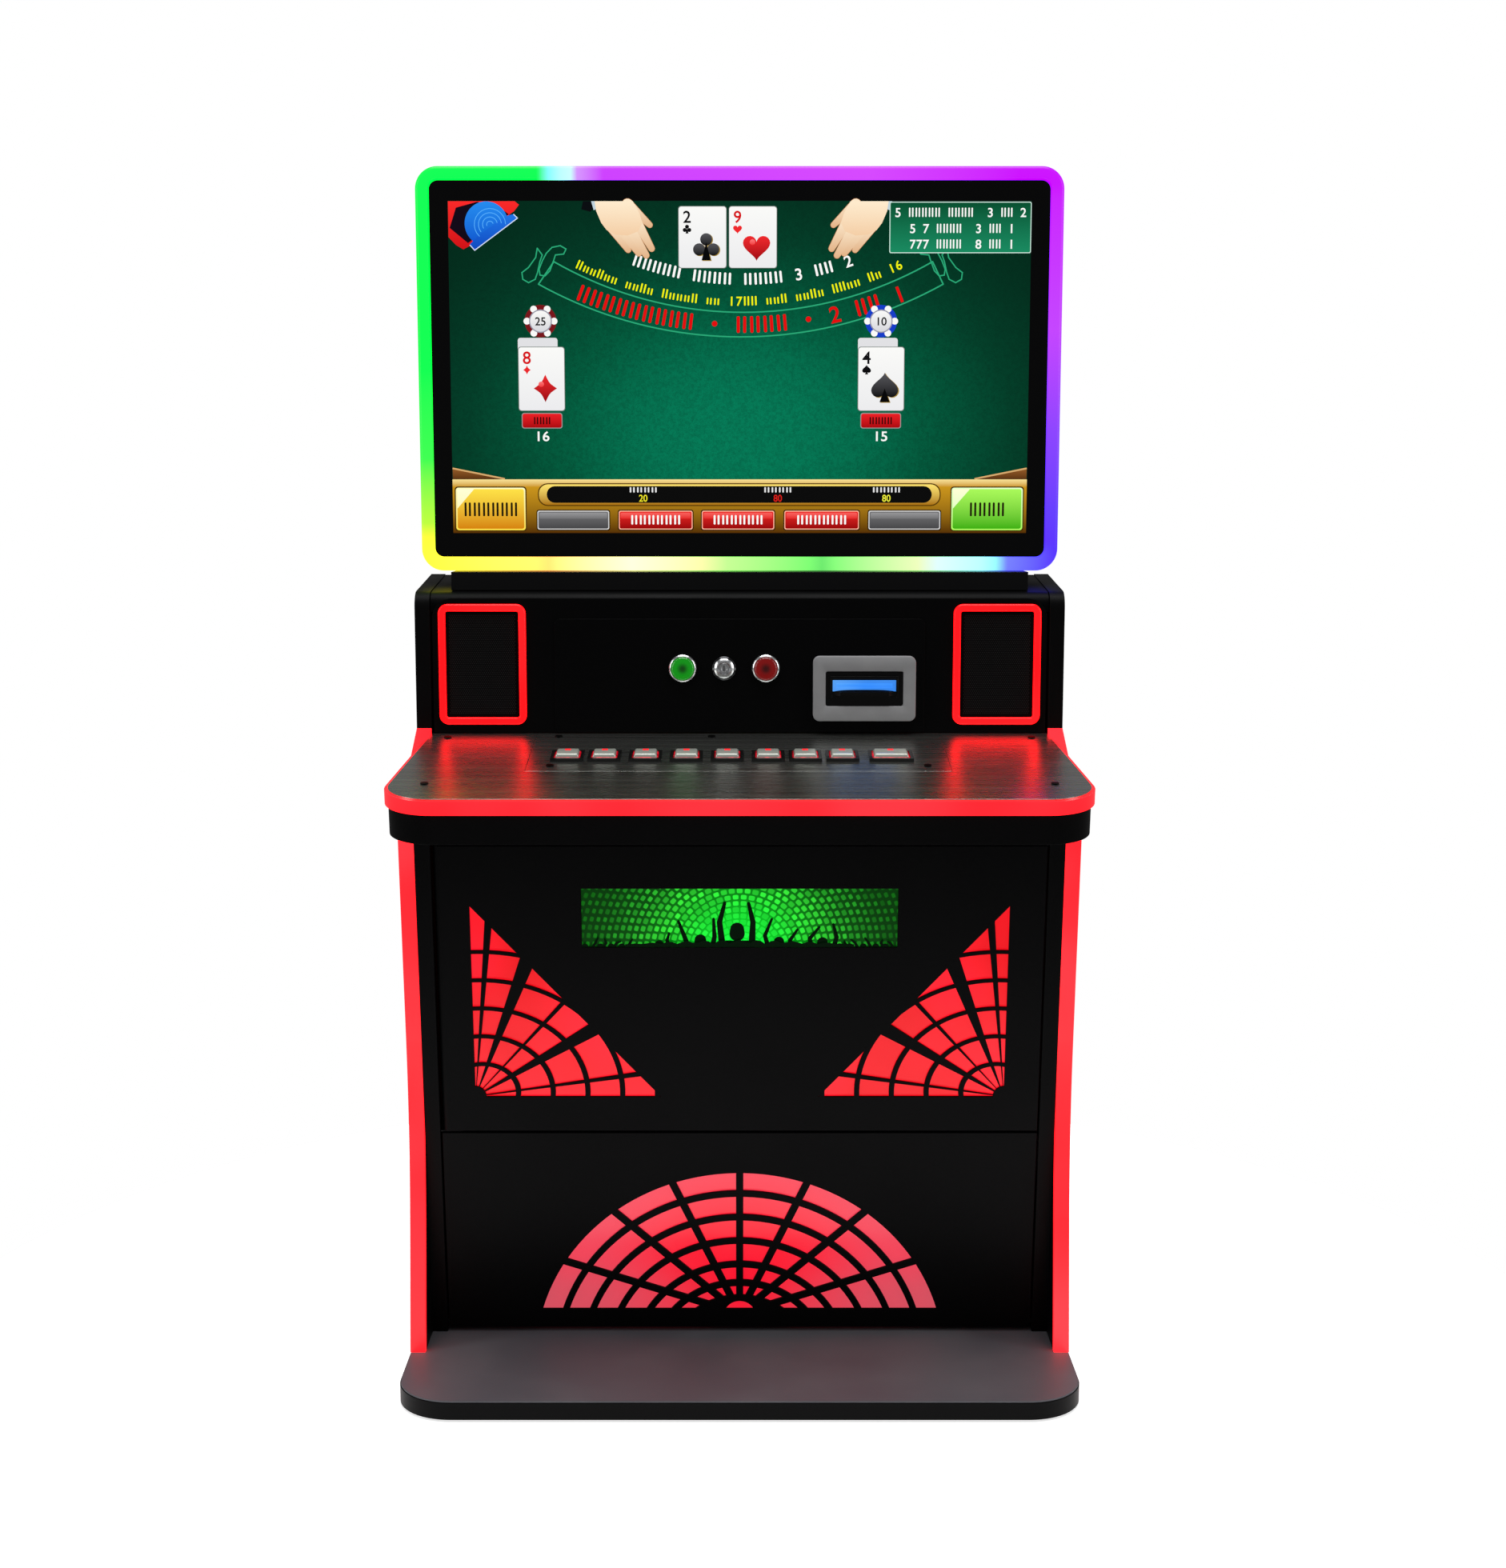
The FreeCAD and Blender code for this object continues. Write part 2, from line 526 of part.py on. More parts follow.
def knuckle(name, index):
    """One knuckle of the rear hinge, bored for its pin."""
    low = f"{knuckle_bottom(index)}+knuckle_end_gap/2"
    tube = rod(name + "_tube", "z", REAR_AXIS_X, REAR_AXIS_Y, low, "knuckle_radius",
               "knuckle_length-knuckle_end_gap")
    hole = rod(name + "_hole", "z", REAR_AXIS_X, REAR_AXIS_Y, low, "rear_pin_radius+run_gap",
               "knuckle_length-knuckle_end_gap")
    return tube, hole


def rear_leaf(name, hand, indexes):
    """One leaf of the rear hinge with its knuckles; hand -1 lies on the board, 1 on the door."""
    pieces = []
    holes = []
    for index in indexes:
        tube, hole = knuckle(f"{name}_{index}", index)
        low = f"{knuckle_bottom(index)}+knuckle_end_gap/2"
        far = f"{REAR_AXIS_X}+{hand}*leaf_width"
        span = (far, REAR_AXIS_X) if hand < 0 else (REAR_AXIS_X, far)
        strap = slab(f"{name}_strap_{index}", *span, "back_face", "back_face+leaf_thickness",
                     low, f"{low}+knuckle_length-knuckle_end_gap")
        pieces.append(cut(f"{name}_knuckle_{index}", union(f"{name}_joined_{index}", [tube, strap]), hole))
    return pieces


board_leaves = rear_leaf("board_leaf", -1, range(0, KNUCKLES, 2))
door_leaves = rear_leaf("door_leaf", 1, range(1, KNUCKLES, 2))
rear_pin = rod("rear_pin", "z", REAR_AXIS_X, REAR_AXIS_Y, knuckle_bottom(0), "rear_pin_radius",
               f"{KNUCKLES}*knuckle_length")
node(group("hinge_hardware_group", [pins, rear_pin] + board_leaves), "hinge_hardware")

board = slab("back_board", f"-({INSIDE})", INSIDE, "back_face-back_thickness", "back_face", FLOOR,
             "back_height-cover_inset-fit_gap")
opening = slab("back_opening", "-opening_half", "opening_half", "back_face-2*back_thickness",
               "back_face+1", "opening_bottom", "opening_top")
inlet_hole = slab("inlet_hole", "inlet_place-inlet_width/2-fit_gap", "inlet_place+inlet_width/2+fit_gap",
                  "back_face-2*back_thickness", "back_face+1", "inlet_height-inlet_tall/2-fit_gap",
                  "inlet_height+inlet_tall/2+fit_gap")
node(cut("back_board_cut", board, [opening, inlet_hole]), "back_panel")

REAR_LOW = "(rear_gap-opening_half)"
REAR_HIGH = "(opening_half-rear_gap)"
rear_board = slab("rear_board", REAR_LOW, REAR_HIGH, "back_face-rear_door_thickness", "back_face",
                  "opening_bottom+rear_gap", "opening_top-rear_gap")
fan_hole = rod("fan_hole", "y", "fan_place", "back_face-2*rear_door_thickness", "fan_height",
               "fan_duct", "3*rear_door_thickness")
rear_door = cut("rear_board_cut", rear_board, fan_hole)
node(union("rear_door_joined", [rear_door] + door_leaves), "rear_door")

FAN_FRONT = "(back_face-rear_door_thickness-fan_depth)"
frame = slab("fan_square", "fan_place-fan_size/2", "fan_place+fan_size/2", FAN_FRONT,
             f"{FAN_FRONT}+fan_depth", "fan_height-fan_size/2", "fan_height+fan_size/2")
duct = rod("fan_duct_bore", "y", "fan_place", FAN_FRONT, "fan_height", "fan_duct", "fan_depth")
struts = [slab("fan_strut_across", "fan_place-fan_size/2+1", "fan_place+fan_size/2-1", FAN_FRONT,
               f"{FAN_FRONT}+fan_strut", "fan_height-3", "fan_height+3"),
          slab("fan_strut_up", "fan_place-3", "fan_place+3", FAN_FRONT, f"{FAN_FRONT}+fan_strut",
               "fan_height-fan_size/2+1", "fan_height+fan_size/2-1"),
          rod("fan_axle", "y", "fan_place", FAN_FRONT, "fan_height", "fan_shaft", "fan_depth-6")]
housing = union("fan_housing", [cut("fan_frame_bored", frame, duct)] + struts)
guard = []
for ring in range(1, 6):
    wide = rod(f"guard_out_{ring}", "y", "fan_place", "back_face", "fan_height",
               f"{ring}*guard_pitch+guard_ring/2", "guard_thickness")
    thin = rod(f"guard_in_{ring}", "y", "fan_place", "back_face", "fan_height",
               f"{ring}*guard_pitch-guard_ring/2", "guard_thickness")
    guard.append(cut(f"guard_ring_{ring}", wide, thin))
REACH = "(5*guard_pitch+guard_ring)"
guard.append(slab("guard_bar_across", f"fan_place-{REACH}", f"fan_place+{REACH}", "back_face",
                  "back_face+guard_thickness", "fan_height-guard_ring/2", "fan_height+guard_ring/2"))
guard.append(slab("guard_bar_up", "fan_place-guard_ring/2", "fan_place+guard_ring/2", "back_face",
                  "back_face+guard_thickness", f"fan_height-{REACH}", f"fan_height+{REACH}"))
node(group("fan_group", [housing, union("fan_guard", guard)]), "fan_frame")

BLADES = 7
rotor = [rod("rotor_hub", "y", "0", "0", "0", "fan_hub", "blade_depth")]
for index in range(BLADES):
    turn = 2 * math.pi * index / BLADES
    blade = bind(doc.addObject("Part::Box", f"blade_{index + 1}"), Length="blade_tip-fan_hub+3",
                 Width="blade_depth*1.1", Height="blade_thickness")
    pitch = Rotation(Vector(1, 0, 0), 32)
    spin = Rotation(Vector(0, 1, 0), -math.degrees(turn))
    start = Vector(size("fan_hub") - 3, -0.55 * size("blade_depth"), -size("blade_thickness") / 2)
    blade.Placement = Placement(Vector(0, size("blade_depth") / 2, 0), spin.multiply(pitch), Vector())
    blade.Placement = blade.Placement.multiply(Placement(start, Rotation()))
    rotor.append(blade)
ring_trim = rod("rotor_trim", "y", "0", "-blade_depth", "0", "blade_tip", "3*blade_depth")
bore = rod("rotor_bore", "y", "0", "-1", "0", "fan_shaft+run_gap", "blade_depth+2")
spinner = cut("rotor_cut", common("rotor_trimmed", union("rotor_joined", rotor), ring_trim), bore)
node(place(spinner, "fan_place", f"{FAN_FRONT}+fan_strut+fan_float", "fan_height"), "fan_rotor")

INLET_Y = "(back_face-inlet_body)"
body = slab("inlet_body_block", "inlet_place-inlet_width/2", "inlet_place+inlet_width/2", INLET_Y,
            "back_face", "inlet_height-inlet_tall/2", "inlet_height+inlet_tall/2")
flange = slab("inlet_flange_plate", "inlet_place-inlet_flange/2", "inlet_place+inlet_flange/2", "back_face",
              "back_face+inlet_flange_thickness", "inlet_height-inlet_tall/2-4", "inlet_height+inlet_tall/2+4")
SOCKET_Z = "(inlet_height-inlet_tall/4)"
socket = slab("inlet_socket", "inlet_place-socket_width/2", "inlet_place+socket_width/2",
              "back_face+inlet_flange_thickness-socket_depth", "back_face+inlet_flange_thickness",
              f"{SOCKET_Z}-socket_tall/2", f"{SOCKET_Z}+socket_tall/2")
ROCKER_Z = "(inlet_height+rocker_lift)"
ROCKER_Y = "(back_face+inlet_flange_thickness-rocker_sink)"
well = slab("rocker_well", "inlet_place-rocker_radius-fit_gap", "inlet_place+rocker_radius+fit_gap",
            f"{ROCKER_Y}-rocker_radius-fit_gap", "back_face+inlet_flange_thickness",
            f"{ROCKER_Z}-rocker_width/2-fit_gap", f"{ROCKER_Z}+rocker_width/2+fit_gap")
pins_in = []
for column, lift in ((-1, -0.15), (0, 0.15), (1, -0.15)):
    pins_in.append(slab(f"inlet_pin_{column + 2}", f"inlet_place+{column}*7-1",
                        f"inlet_place+{column}*7+1", "back_face+inlet_flange_thickness-socket_depth-2",
                        "back_face-2", f"{SOCKET_Z}+{lift}*socket_tall-inlet_pin/2",
                        f"{SOCKET_Z}+{lift}*socket_tall+inlet_pin/2"))
moulded = cut("inlet_moulding", union("inlet_joined", [body, flange]), [socket, well])
inlet = union("inlet_with_pins", [moulded] + pins_in)
node(inlet, "power_inlet")

disc = rod("rocker_disc", "z", "0", "0", "-rocker_width/2", "rocker_radius", "rocker_width")
trim_top = slab("rocker_trim", "-2*rocker_radius", "2*rocker_radius", "rocker_flat", "2*rocker_radius",
                "-rocker_width", "rocker_width")
rocker = cut("rocker_cut", disc, trim_top)
node(place(rocker, "inlet_place", ROCKER_Y, ROCKER_Z, (0, 0, 1), "-rocker_tilt"), "power_rocker")


# Head: a folded steel cover between the cheeks, the front panel, speakers and the control plate.
def cover_end(face):
    middle = face.CenterOfMass
    length = size("cabinet_width") - 2 * (size("panel_thickness") + size("side_gap"))
    at_end = middle.x < 1e-6 or middle.x > length - 1e-6
    slanting = face.BoundBox.ZLength > 60 and middle.z < 860 and middle.y < 200
    return at_end or slanting


COVER_BACK = "(back_face-cover_inset)"
cover = pad("cover_sheet", "YZ_Plane", [
    ("cover_front", "cover_bottom"), ("cover_front", f"{on_top('cover_front')}-cover_inset"),
    ("ridge_place", f"{on_top('ridge_place')}-cover_inset"), (COVER_BACK, "back_height-cover_inset")],
    f"2*({INSIDE}-side_gap)")
round_corners(cover, (1,), "head_corner-4")
hollow(cover, "sheet", cover_end)
node(place(cover, x=f"-({INSIDE}-side_gap)"), "head_cover")


def framed(name, thing, y_low, y_high, x, z, wide, tall, corner):
    """An upright plate with round corners, in front view, around a middle point."""
    plate = pad(name, "XZ_Plane", corners_of(f"{x}-({wide})/2", f"{x}+({wide})/2",
                                             f"{z}-({tall})/2", f"{z}+({tall})/2"),
                f"({y_high})-({y_low})", backwards=True)
    if thing:
        round_corners(plate, thing, corner)
    return place(plate, y=y_low)


ALL_FOUR = (0, 1, 2, 3)
HEAD_BACK = "(head_panel_face+head_panel_thickness)"
HEAD_MIDDLE = f"({HEAD_LOW}+{HEAD_HIGH})/2"
head = framed("head_sheet", (2, 3), "head_panel_face", HEAD_BACK, "0", HEAD_MIDDLE,
              f"2*({INSIDE}-head_panel_margin)", f"{HEAD_HIGH}-{HEAD_LOW}", "head_panel_corner")
windows = []
for side, hand in (("left", "-1"), ("right", "1")):
    windows.append(slab(f"speaker_window_{side}",
                        f"{hand}*speaker_place-speaker_width/2+speaker_band",
                        f"{hand}*speaker_place+speaker_width/2-speaker_band",
                        "head_panel_face-1", f"{HEAD_BACK}+1",
                        "speaker_height-speaker_tall/2+speaker_band",
                        "speaker_height+speaker_tall/2-speaker_band"))
hatch = slab("head_hatch", "-hatch_half", "hatch_half+10", "head_panel_face-1", f"{HEAD_BACK}+1",
             "hatch_bottom", "hatch_top")
node(cut("head_sheet_cut", head, windows + [hatch]), "head_front")

rings = []
grilles = []
drivers = []
for side, hand in (("left", "-1"), ("right", "1")):
    middle = f"{hand}*speaker_place"
    ring = framed(f"ring_{side}", ALL_FOUR, "speaker_light_face", "head_panel_face", middle,
                  "speaker_height", "speaker_width", "speaker_tall", "speaker_corner")
    hole = framed(f"ring_hole_{side}", (), "speaker_light_face-1", "head_panel_face+1", middle,
                  "speaker_height", "speaker_width-2*speaker_band", "speaker_tall-2*speaker_band", "1")
    rings.append(cut(f"ring_cut_{side}", ring, hole))
    grilles.append(framed(f"grille_{side}", (), "head_panel_face", "head_panel_face+grille_thickness",
                          middle, "speaker_height", "speaker_width-2*speaker_band-2*run_gap",
                          "speaker_tall-2*speaker_band-2*run_gap", "1"))
    plate = slab(f"driver_plate_{side}", f"{middle}-driver_radius-6", f"{middle}+driver_radius+6",
                 HEAD_BACK, f"{HEAD_BACK}+sheet", "speaker_height-driver_plate_tall/2",
                 "speaker_height+driver_plate_tall/2")
    cone = bind(doc.addObject("Part::Cone", f"driver_cone_{side}"), Radius1="driver_radius",
                Radius2="magnet_radius", Height="driver_depth/2")
    place(cone, middle, HEAD_BACK, "speaker_height", (1, 0, 0), "-90")
    hollow_cone = bind(doc.addObject("Part::Cone", f"driver_hollow_{side}"),
                       Radius1="driver_radius-sheet", Radius2="magnet_radius-2*sheet",
                       Height="driver_depth/2-sheet")
    place(hollow_cone, middle, HEAD_BACK, "speaker_height", (1, 0, 0), "-90")
    magnet = rod(f"driver_magnet_{side}", "y", middle, f"{HEAD_BACK}+driver_depth/2-1",
                 "speaker_height", "magnet_radius", "driver_depth/2")
    drivers.append(cut(f"driver_{side}", union(f"driver_solid_{side}", [plate, cone, magnet]), hollow_cone))
node(group("speaker_ring_group", rings), "speaker_lights")
node(group("speaker_grille_group", grilles), "speaker_grilles")
node(group("speaker_driver_group", drivers), "speaker_drivers")

PLATE_LOW = "(deck_height+plate_lift)"
PLATE_MIDDLE = f"({PLATE_LOW}+plate_top)/2"
plate = framed("control_sheet", (2, 3), "head_face", "head_panel_face", "0", PLATE_MIDDLE,
               "2*plate_half", f"plate_top-{PLATE_LOW}", "plate_corner")
holes = []
for name, x, radius in (("green", "green_place", "barrel_radius"), ("red", "red_place", "barrel_radius"),
                        ("lock", "lock_place", "lock_radius")):
    holes.append(rod(f"{name}_hole", "y", x, "head_face-1", "control_height", f"{radius}+run_gap", "5"))
holes.append(slab("mouth_hole", "bill_place-mouth_width/2", "bill_place+mouth_width/2", "head_face-1",
                  "head_face+5", "bill_height-mouth_tall/2", "bill_height+mouth_tall/2"))
node(cut("control_sheet_cut", plate, holes), "control_plate")

BEZEL_FACE = "(head_face-bezel_height)"
LENS_FACE = "(head_face-bezel_height-lens_proud)"
bodies = []
for name in ("green", "red"):
    x = f"{name}_place"
    ring = rod(f"{name}_bezel", "y", x, BEZEL_FACE, "control_height", "bezel_radius", "bezel_height")
    barrel = rod(f"{name}_barrel", "y", x, "head_face", "control_height", "barrel_radius", "barrel_length")
    pocket = rod(f"{name}_pocket", "y", x, f"{BEZEL_FACE}-1", "control_height", "lens_radius+press_gap",
                 "bezel_height+1-sheet/5")
    bore = rod(f"{name}_bore", "y", x, BEZEL_FACE, "control_height", "stem_radius+run_gap",
               "bezel_height+stem_length+press_travel+1")
    bodies.append(cut(f"{name}_body", union(f"{name}_body_solid", [ring, barrel]), [pocket, bore]))
    lens = rod(f"{name}_lens", "y", x, LENS_FACE, "control_height", "lens_radius", "lens_thickness")
    stem = rod(f"{name}_stem", "y", x, f"{LENS_FACE}+lens_thickness", "control_height", "stem_radius",
               "stem_length")
    node(union(f"{name}_cap", [lens, stem]), f"{name}_button")
node(group("button_bodies_group", bodies), "push_button_bodies")

flange = rod("lock_flange_disc", "y", "lock_place", "head_face-lock_flange_height", "control_height",
             "lock_flange", "lock_flange_height")
notches = []
for index in range(4):
    turn = math.pi / 4 + index * math.pi / 2
    notches.append(rod(f"lock_notch_{index + 1}", "y", f"lock_place+{math.cos(turn):.6f}*(lock_flange+1)",
                       "head_face-lock_flange_height-1",
                       f"control_height+{math.sin(turn):.6f}*(lock_flange+1)", "3", "lock_flange_height+1"))
nose = rod("lock_nose", "y", "lock_place", "head_face-lock_height", "control_height", "lock_radius",
           "lock_height+lock_length")
key_bore = rod("lock_bore", "y", "lock_place", "head_face-lock_height-1", "control_height",
               "key_radius+run_gap", "key_length+1+run_gap")
node(cut("lock_body_cut", union("lock_body_solid", [flange, nose]), notches + [key_bore]), "key_lock_body")
plug = rod("key_cylinder", "y", "lock_place", "head_face-lock_height", "control_height", "key_radius",
           "key_length")
slit = slab("key_slit", "lock_place-key_slot_width/2", "lock_place+key_slot_width/2",
            "head_face-lock_height-1", "head_face-lock_height+key_slot_depth",
            "control_height-key_slot_length/2", "control_height+key_slot_length/2")
node(cut("key_plug_cut", plug, slit), "key_plug")

# Bill acceptor: grey bezel, black mouth with a scooped lip, lit slot and the validator behind.
BILL_FACE = "(head_face-bezel_depth)"
bill_frame = framed("bill_frame", ALL_FOUR, BILL_FACE, "head_face", "bill_place", "bill_height",
                    "bezel_width", "bezel_tall", "bezel_round")
bill_window = framed("bill_window", ALL_FOUR, f"{BILL_FACE}-1", "head_face+1", "bill_place",
                     "bill_height", "mouth_width", "mouth_tall", "4")
node(cut("bill_frame_cut", bill_frame, bill_window), "bill_bezel")

SLOT_LOW = "(slot_height-slot_tall/2)"
SLOT_HIGH = "(slot_height+slot_tall/2)"
slot = slab("bill_slot_void", "bill_place-slot_width/2", "bill_place+slot_width/2",
            "head_face-lip_reach-bezel_depth", "head_face+bill_path", SLOT_LOW, SLOT_HIGH)
mouth_block = framed("mouth_block", ALL_FOUR, "head_face-mouth_depth/2", "head_face+mouth_depth",
                     "bill_place", "bill_height", "mouth_width-2*run_gap", "mouth_tall-2*run_gap", "4")
light_recess = slab("light_recess", "bill_place-slot_light_width/2-run_gap",
                    "bill_place+slot_light_width/2+run_gap", "head_face-mouth_depth",
                    "head_face-mouth_depth/2+slot_light_depth", "slot_height-slot_light_tall/2-run_gap",
                    "slot_height+slot_light_tall/2+run_gap")
lip = pad("mouth_lip", "XY_Plane", [
    ("bill_place-slot_light_width/2", "head_face-mouth_depth/2+1"),
    ("bill_place-slot_width/2+4", "head_face-lip_reach"),
    ("bill_place+slot_width/2-4", "head_face-lip_reach"),
    ("bill_place+slot_light_width/2", "head_face-mouth_depth/2+1")], "5")
round_corners(lip, (1, 2), "3")
place(lip, z="slot_height-slot_light_tall/2-5-run_gap")
mouth = cut("mouth_cut", union("mouth_joined", [mouth_block, lip]), [light_recess, slot])
node(mouth, "bill_mouth")
light = slab("slot_light_bar", "bill_place-slot_light_width/2", "bill_place+slot_light_width/2",
             "head_face-mouth_depth/2", "head_face-mouth_depth/2+slot_light_depth",
             "slot_height-slot_light_tall/2", "slot_height+slot_light_tall/2")
node(cut("slot_light_cut", light, slot), "bill_slot_light")
validator = slab("validator_block", "bill_place-validator_width/2", "bill_place+validator_width/2",
                 "head_face+mouth_depth", "head_face+mouth_depth+validator_depth",
                 "slot_height-validator_tall/2", "slot_height+validator_tall/2")
node(cut("validator_cut", validator, slot), "bill_validator")
stacker = slab("stacker_block", "bill_place-stacker_width/2", "bill_place+stacker_width/2",
               "head_face+mouth_depth+30", "head_face+mouth_depth+30+stacker_depth",
               "slot_height-validator_tall/2-stacker_gap-stacker_tall",
               "slot_height-validator_tall/2-stacker_gap")
node(stacker, "bill_stacker")


# Plinth and monitor.
node(place(pad("plinth_block", "YZ_Plane", [
    ("plinth_face", on_top("plinth_face")), ("plinth_back", on_top("plinth_back")),
    ("plinth_back", MONITOR_LOW), ("plinth_face", MONITOR_LOW)], "2*plinth_half"),
    x="-plinth_half"), "plinth")

MONITOR_Z = f"({MONITOR_LOW}+monitor_tall/2)"
HALO_FACE = "(glass_face+halo_step)"
HALO_BACK = "(glass_face+halo_step+halo_depth)"


def screen(name, y_low, y_high, inset, corner):
    return framed(name, ALL_FOUR, y_low, y_high, "0", MONITOR_Z, f"monitor_width-2*({inset})",
                  f"monitor_tall-2*({inset})", corner)


halo = screen("halo_solid", HALO_FACE, HALO_BACK, "0", "monitor_corner")
halo_hole = screen("halo_hole", "glass_face-1", f"{HALO_BACK}+1", "halo_band", "monitor_corner-halo_band+1")
node(cut("halo_cut", halo, halo_hole), "monitor_halo")
node(screen("glass_sheet", "glass_face", "glass_face+glass_thickness", "halo_band+fit_gap",
            "monitor_corner-halo_band+1"), "touch_glass")
LCD_FACE = "(glass_face+glass_thickness+fit_gap)"
node(slab("lcd_block", "-lcd_width/2", "lcd_width/2", LCD_FACE, f"{LCD_FACE}+lcd_depth",
          f"{MONITOR_Z}-lcd_tall/2", f"{MONITOR_Z}+lcd_tall/2"), "lcd_module")


def housing_front(face):
    return face.BoundBox.YLength < 1e-6 and face.CenterOfMass.y < 1e-6


shell = screen("monitor_shell", HALO_BACK, "housing_back", "housing_inset", "monitor_corner")
hollow(shell, "housing_wall", housing_front)
node(shell, "monitor_housing")

stand = slab("stand_plate", "-bracket_width/2", "bracket_width/2", "housing_back",
             "housing_back+bracket_plate", MONITOR_LOW, f"{MONITOR_LOW}+bracket_tall")
toe = slab("stand_foot", "-bracket_width/2", "bracket_width/2", "housing_back",
           "housing_back+bracket_foot", MONITOR_LOW, f"{MONITOR_LOW}+bracket_plate")
ribs = []
for index, x in enumerate(("-bracket_width/2", "-bracket_plate/2", "bracket_width/2-bracket_plate"), 1):
    rib = pad(f"stand_rib_{index}", "YZ_Plane", [
        ("housing_back+1", f"{MONITOR_LOW}+1"), ("housing_back+bracket_foot", f"{MONITOR_LOW}+1"),
        ("housing_back+bracket_foot", f"{MONITOR_LOW}+10"),
        ("housing_back+bracket_plate", f"{MONITOR_LOW}+bracket_tall*0.6"),
        ("housing_back+1", f"{MONITOR_LOW}+bracket_tall*0.6")], "bracket_plate")
    ribs.append(place(rib, x=x))
node(union("stand_joined", [stand, toe] + ribs), "monitor_bracket")


# Deck: a sloping tray in front of the head, its steel top, button plate, lit edge and buttons.
DECK_REAR = "(head_panel_face-fit_gap)"
REAR_HALF = f"({INSIDE}-side_gap)"

# Nine keys in one row: the gaps between them run narrow, four wide, two narrow and a last one.
KEY_GAPS = ("narrow", "wide", "wide", "wide", "wide", "narrow", "narrow")
key_places = ["button_start"]
for gap in KEY_GAPS:
    key_places.append(f"{key_places[-1]}+key_base+{gap}_space")
key_places.append(f"{key_places[-1]}+(key_base+last_base)/2+end_space")
PLATE_LEFT = "(button_start-key_base/2-key_margin_left)"
PLATE_RIGHT = f"({key_places[-1]}+last_base/2+key_margin_right)"


def slope(thing):
    return place(thing, "0", DECK_REAR, "deck_height", (1, 0, 0), "deck_slope")


def deck_outline(name, grow, low, tall):
    outline = pad(name, "XY_Plane", [
        (f"-{REAR_HALF}-{grow}", "0"), (f"-{HALF}-{grow}", "-deck_flare"),
        (f"-{HALF}-{grow}", f"-deck_depth-{grow}"), (f"{HALF}+{grow}", f"-deck_depth-{grow}"),
        (f"{HALF}+{grow}", "-deck_flare"), (f"{REAR_HALF}+{grow}", "0")], tall)
    round_corners(outline, (2, 3), f"deck_corner+{grow}")
    return place(outline, z=low)


def shoulders(name):
    """The space that the two side panels and their clearance take from the deck."""
    blanks = []
    for side, x in (("left", f"-{HALF}-10"), ("right", f"{INSIDE}-tray_side_gap")):
        blanks.append(panel_blank(f"{name}_{side}", "panel_thickness+tray_side_gap+10", x,
                                  "-tray_clearance", "tray_clearance"))
    return group(name, blanks)


def tray_top(face):
    return face.BoundBox.ZLength < 1e-6 and face.CenterOfMass.z > size("tray_tall") - 1e-6


TRAY_LOW = "-deck_plate-tray_tall"
tray = deck_outline("tray_solid", "0", TRAY_LOW, "tray_tall")
hollow(tray, "tray_wall", tray_top)
node(cut("tray_trimmed", slope(group("tray_sloped", [tray])), shoulders("tray_shoulders")), "deck_tray")
band = cut("band_ring", deck_outline("band_solid", "deck_light_proud", "-deck_plate-deck_light_tall",
                                     "deck_light_tall"),
           deck_outline("band_hole", "0", "-deck_plate-deck_light_tall-1", "deck_light_tall+2"))
node(cut("band_trimmed", slope(group("band_sloped", [band])), shoulders("band_shoulders")),
     "deck_edge_light")

# Each entry places one screw in the deck's own frame and names the plate that it goes through.
SCREWS = (("button", f"{PLATE_LEFT}+27", "-18"), ("button", "-34", "-18"),
          ("button", f"{PLATE_RIGHT}-26", "-150"), ("button", f"{PLATE_LEFT}+27", "-150"),
          ("deck", f"22-{REAR_HALF}", "-22"),
          ("deck", f"{REAR_HALF}-22", "-22"), ("deck", f"40-{HALF}", "60-deck_depth"),
          ("deck", f"{HALF}-40", "60-deck_depth"))
screws = []
screw_holes = {"button": [], "deck": []}
for index, (carrier, x, y) in enumerate(SCREWS, 1):
    shank = rod(f"screw_shank_{index}", "z", x, y, "-screw_length", "screw_shank", "screw_length+0.5")
    cap = rod(f"screw_cap_{index}", "z", x, y, "0", "screw_head", "screw_head_tall")
    screws.append(union(f"screw_{index}", [shank, cap]))
    screw_holes[carrier].append(rod(f"screw_hole_{index}", "z", x, y, "-screw_length",
                                    "screw_shank+run_gap", "2*screw_length"))

plate_gap = slab("button_plate_gap", f"{PLATE_LEFT}-seam", f"{PLATE_RIGHT}+seam",
                 "-button_plate_depth-seam", "10", "-10", "10")
top = cut("deck_sheet_cut", deck_outline("deck_sheet", "0", "-deck_plate", "deck_plate"),
          [plate_gap] + screw_holes["deck"])
node(cut("deck_sheet_trimmed", slope(top), shoulders("deck_shoulders")), "deck_top")

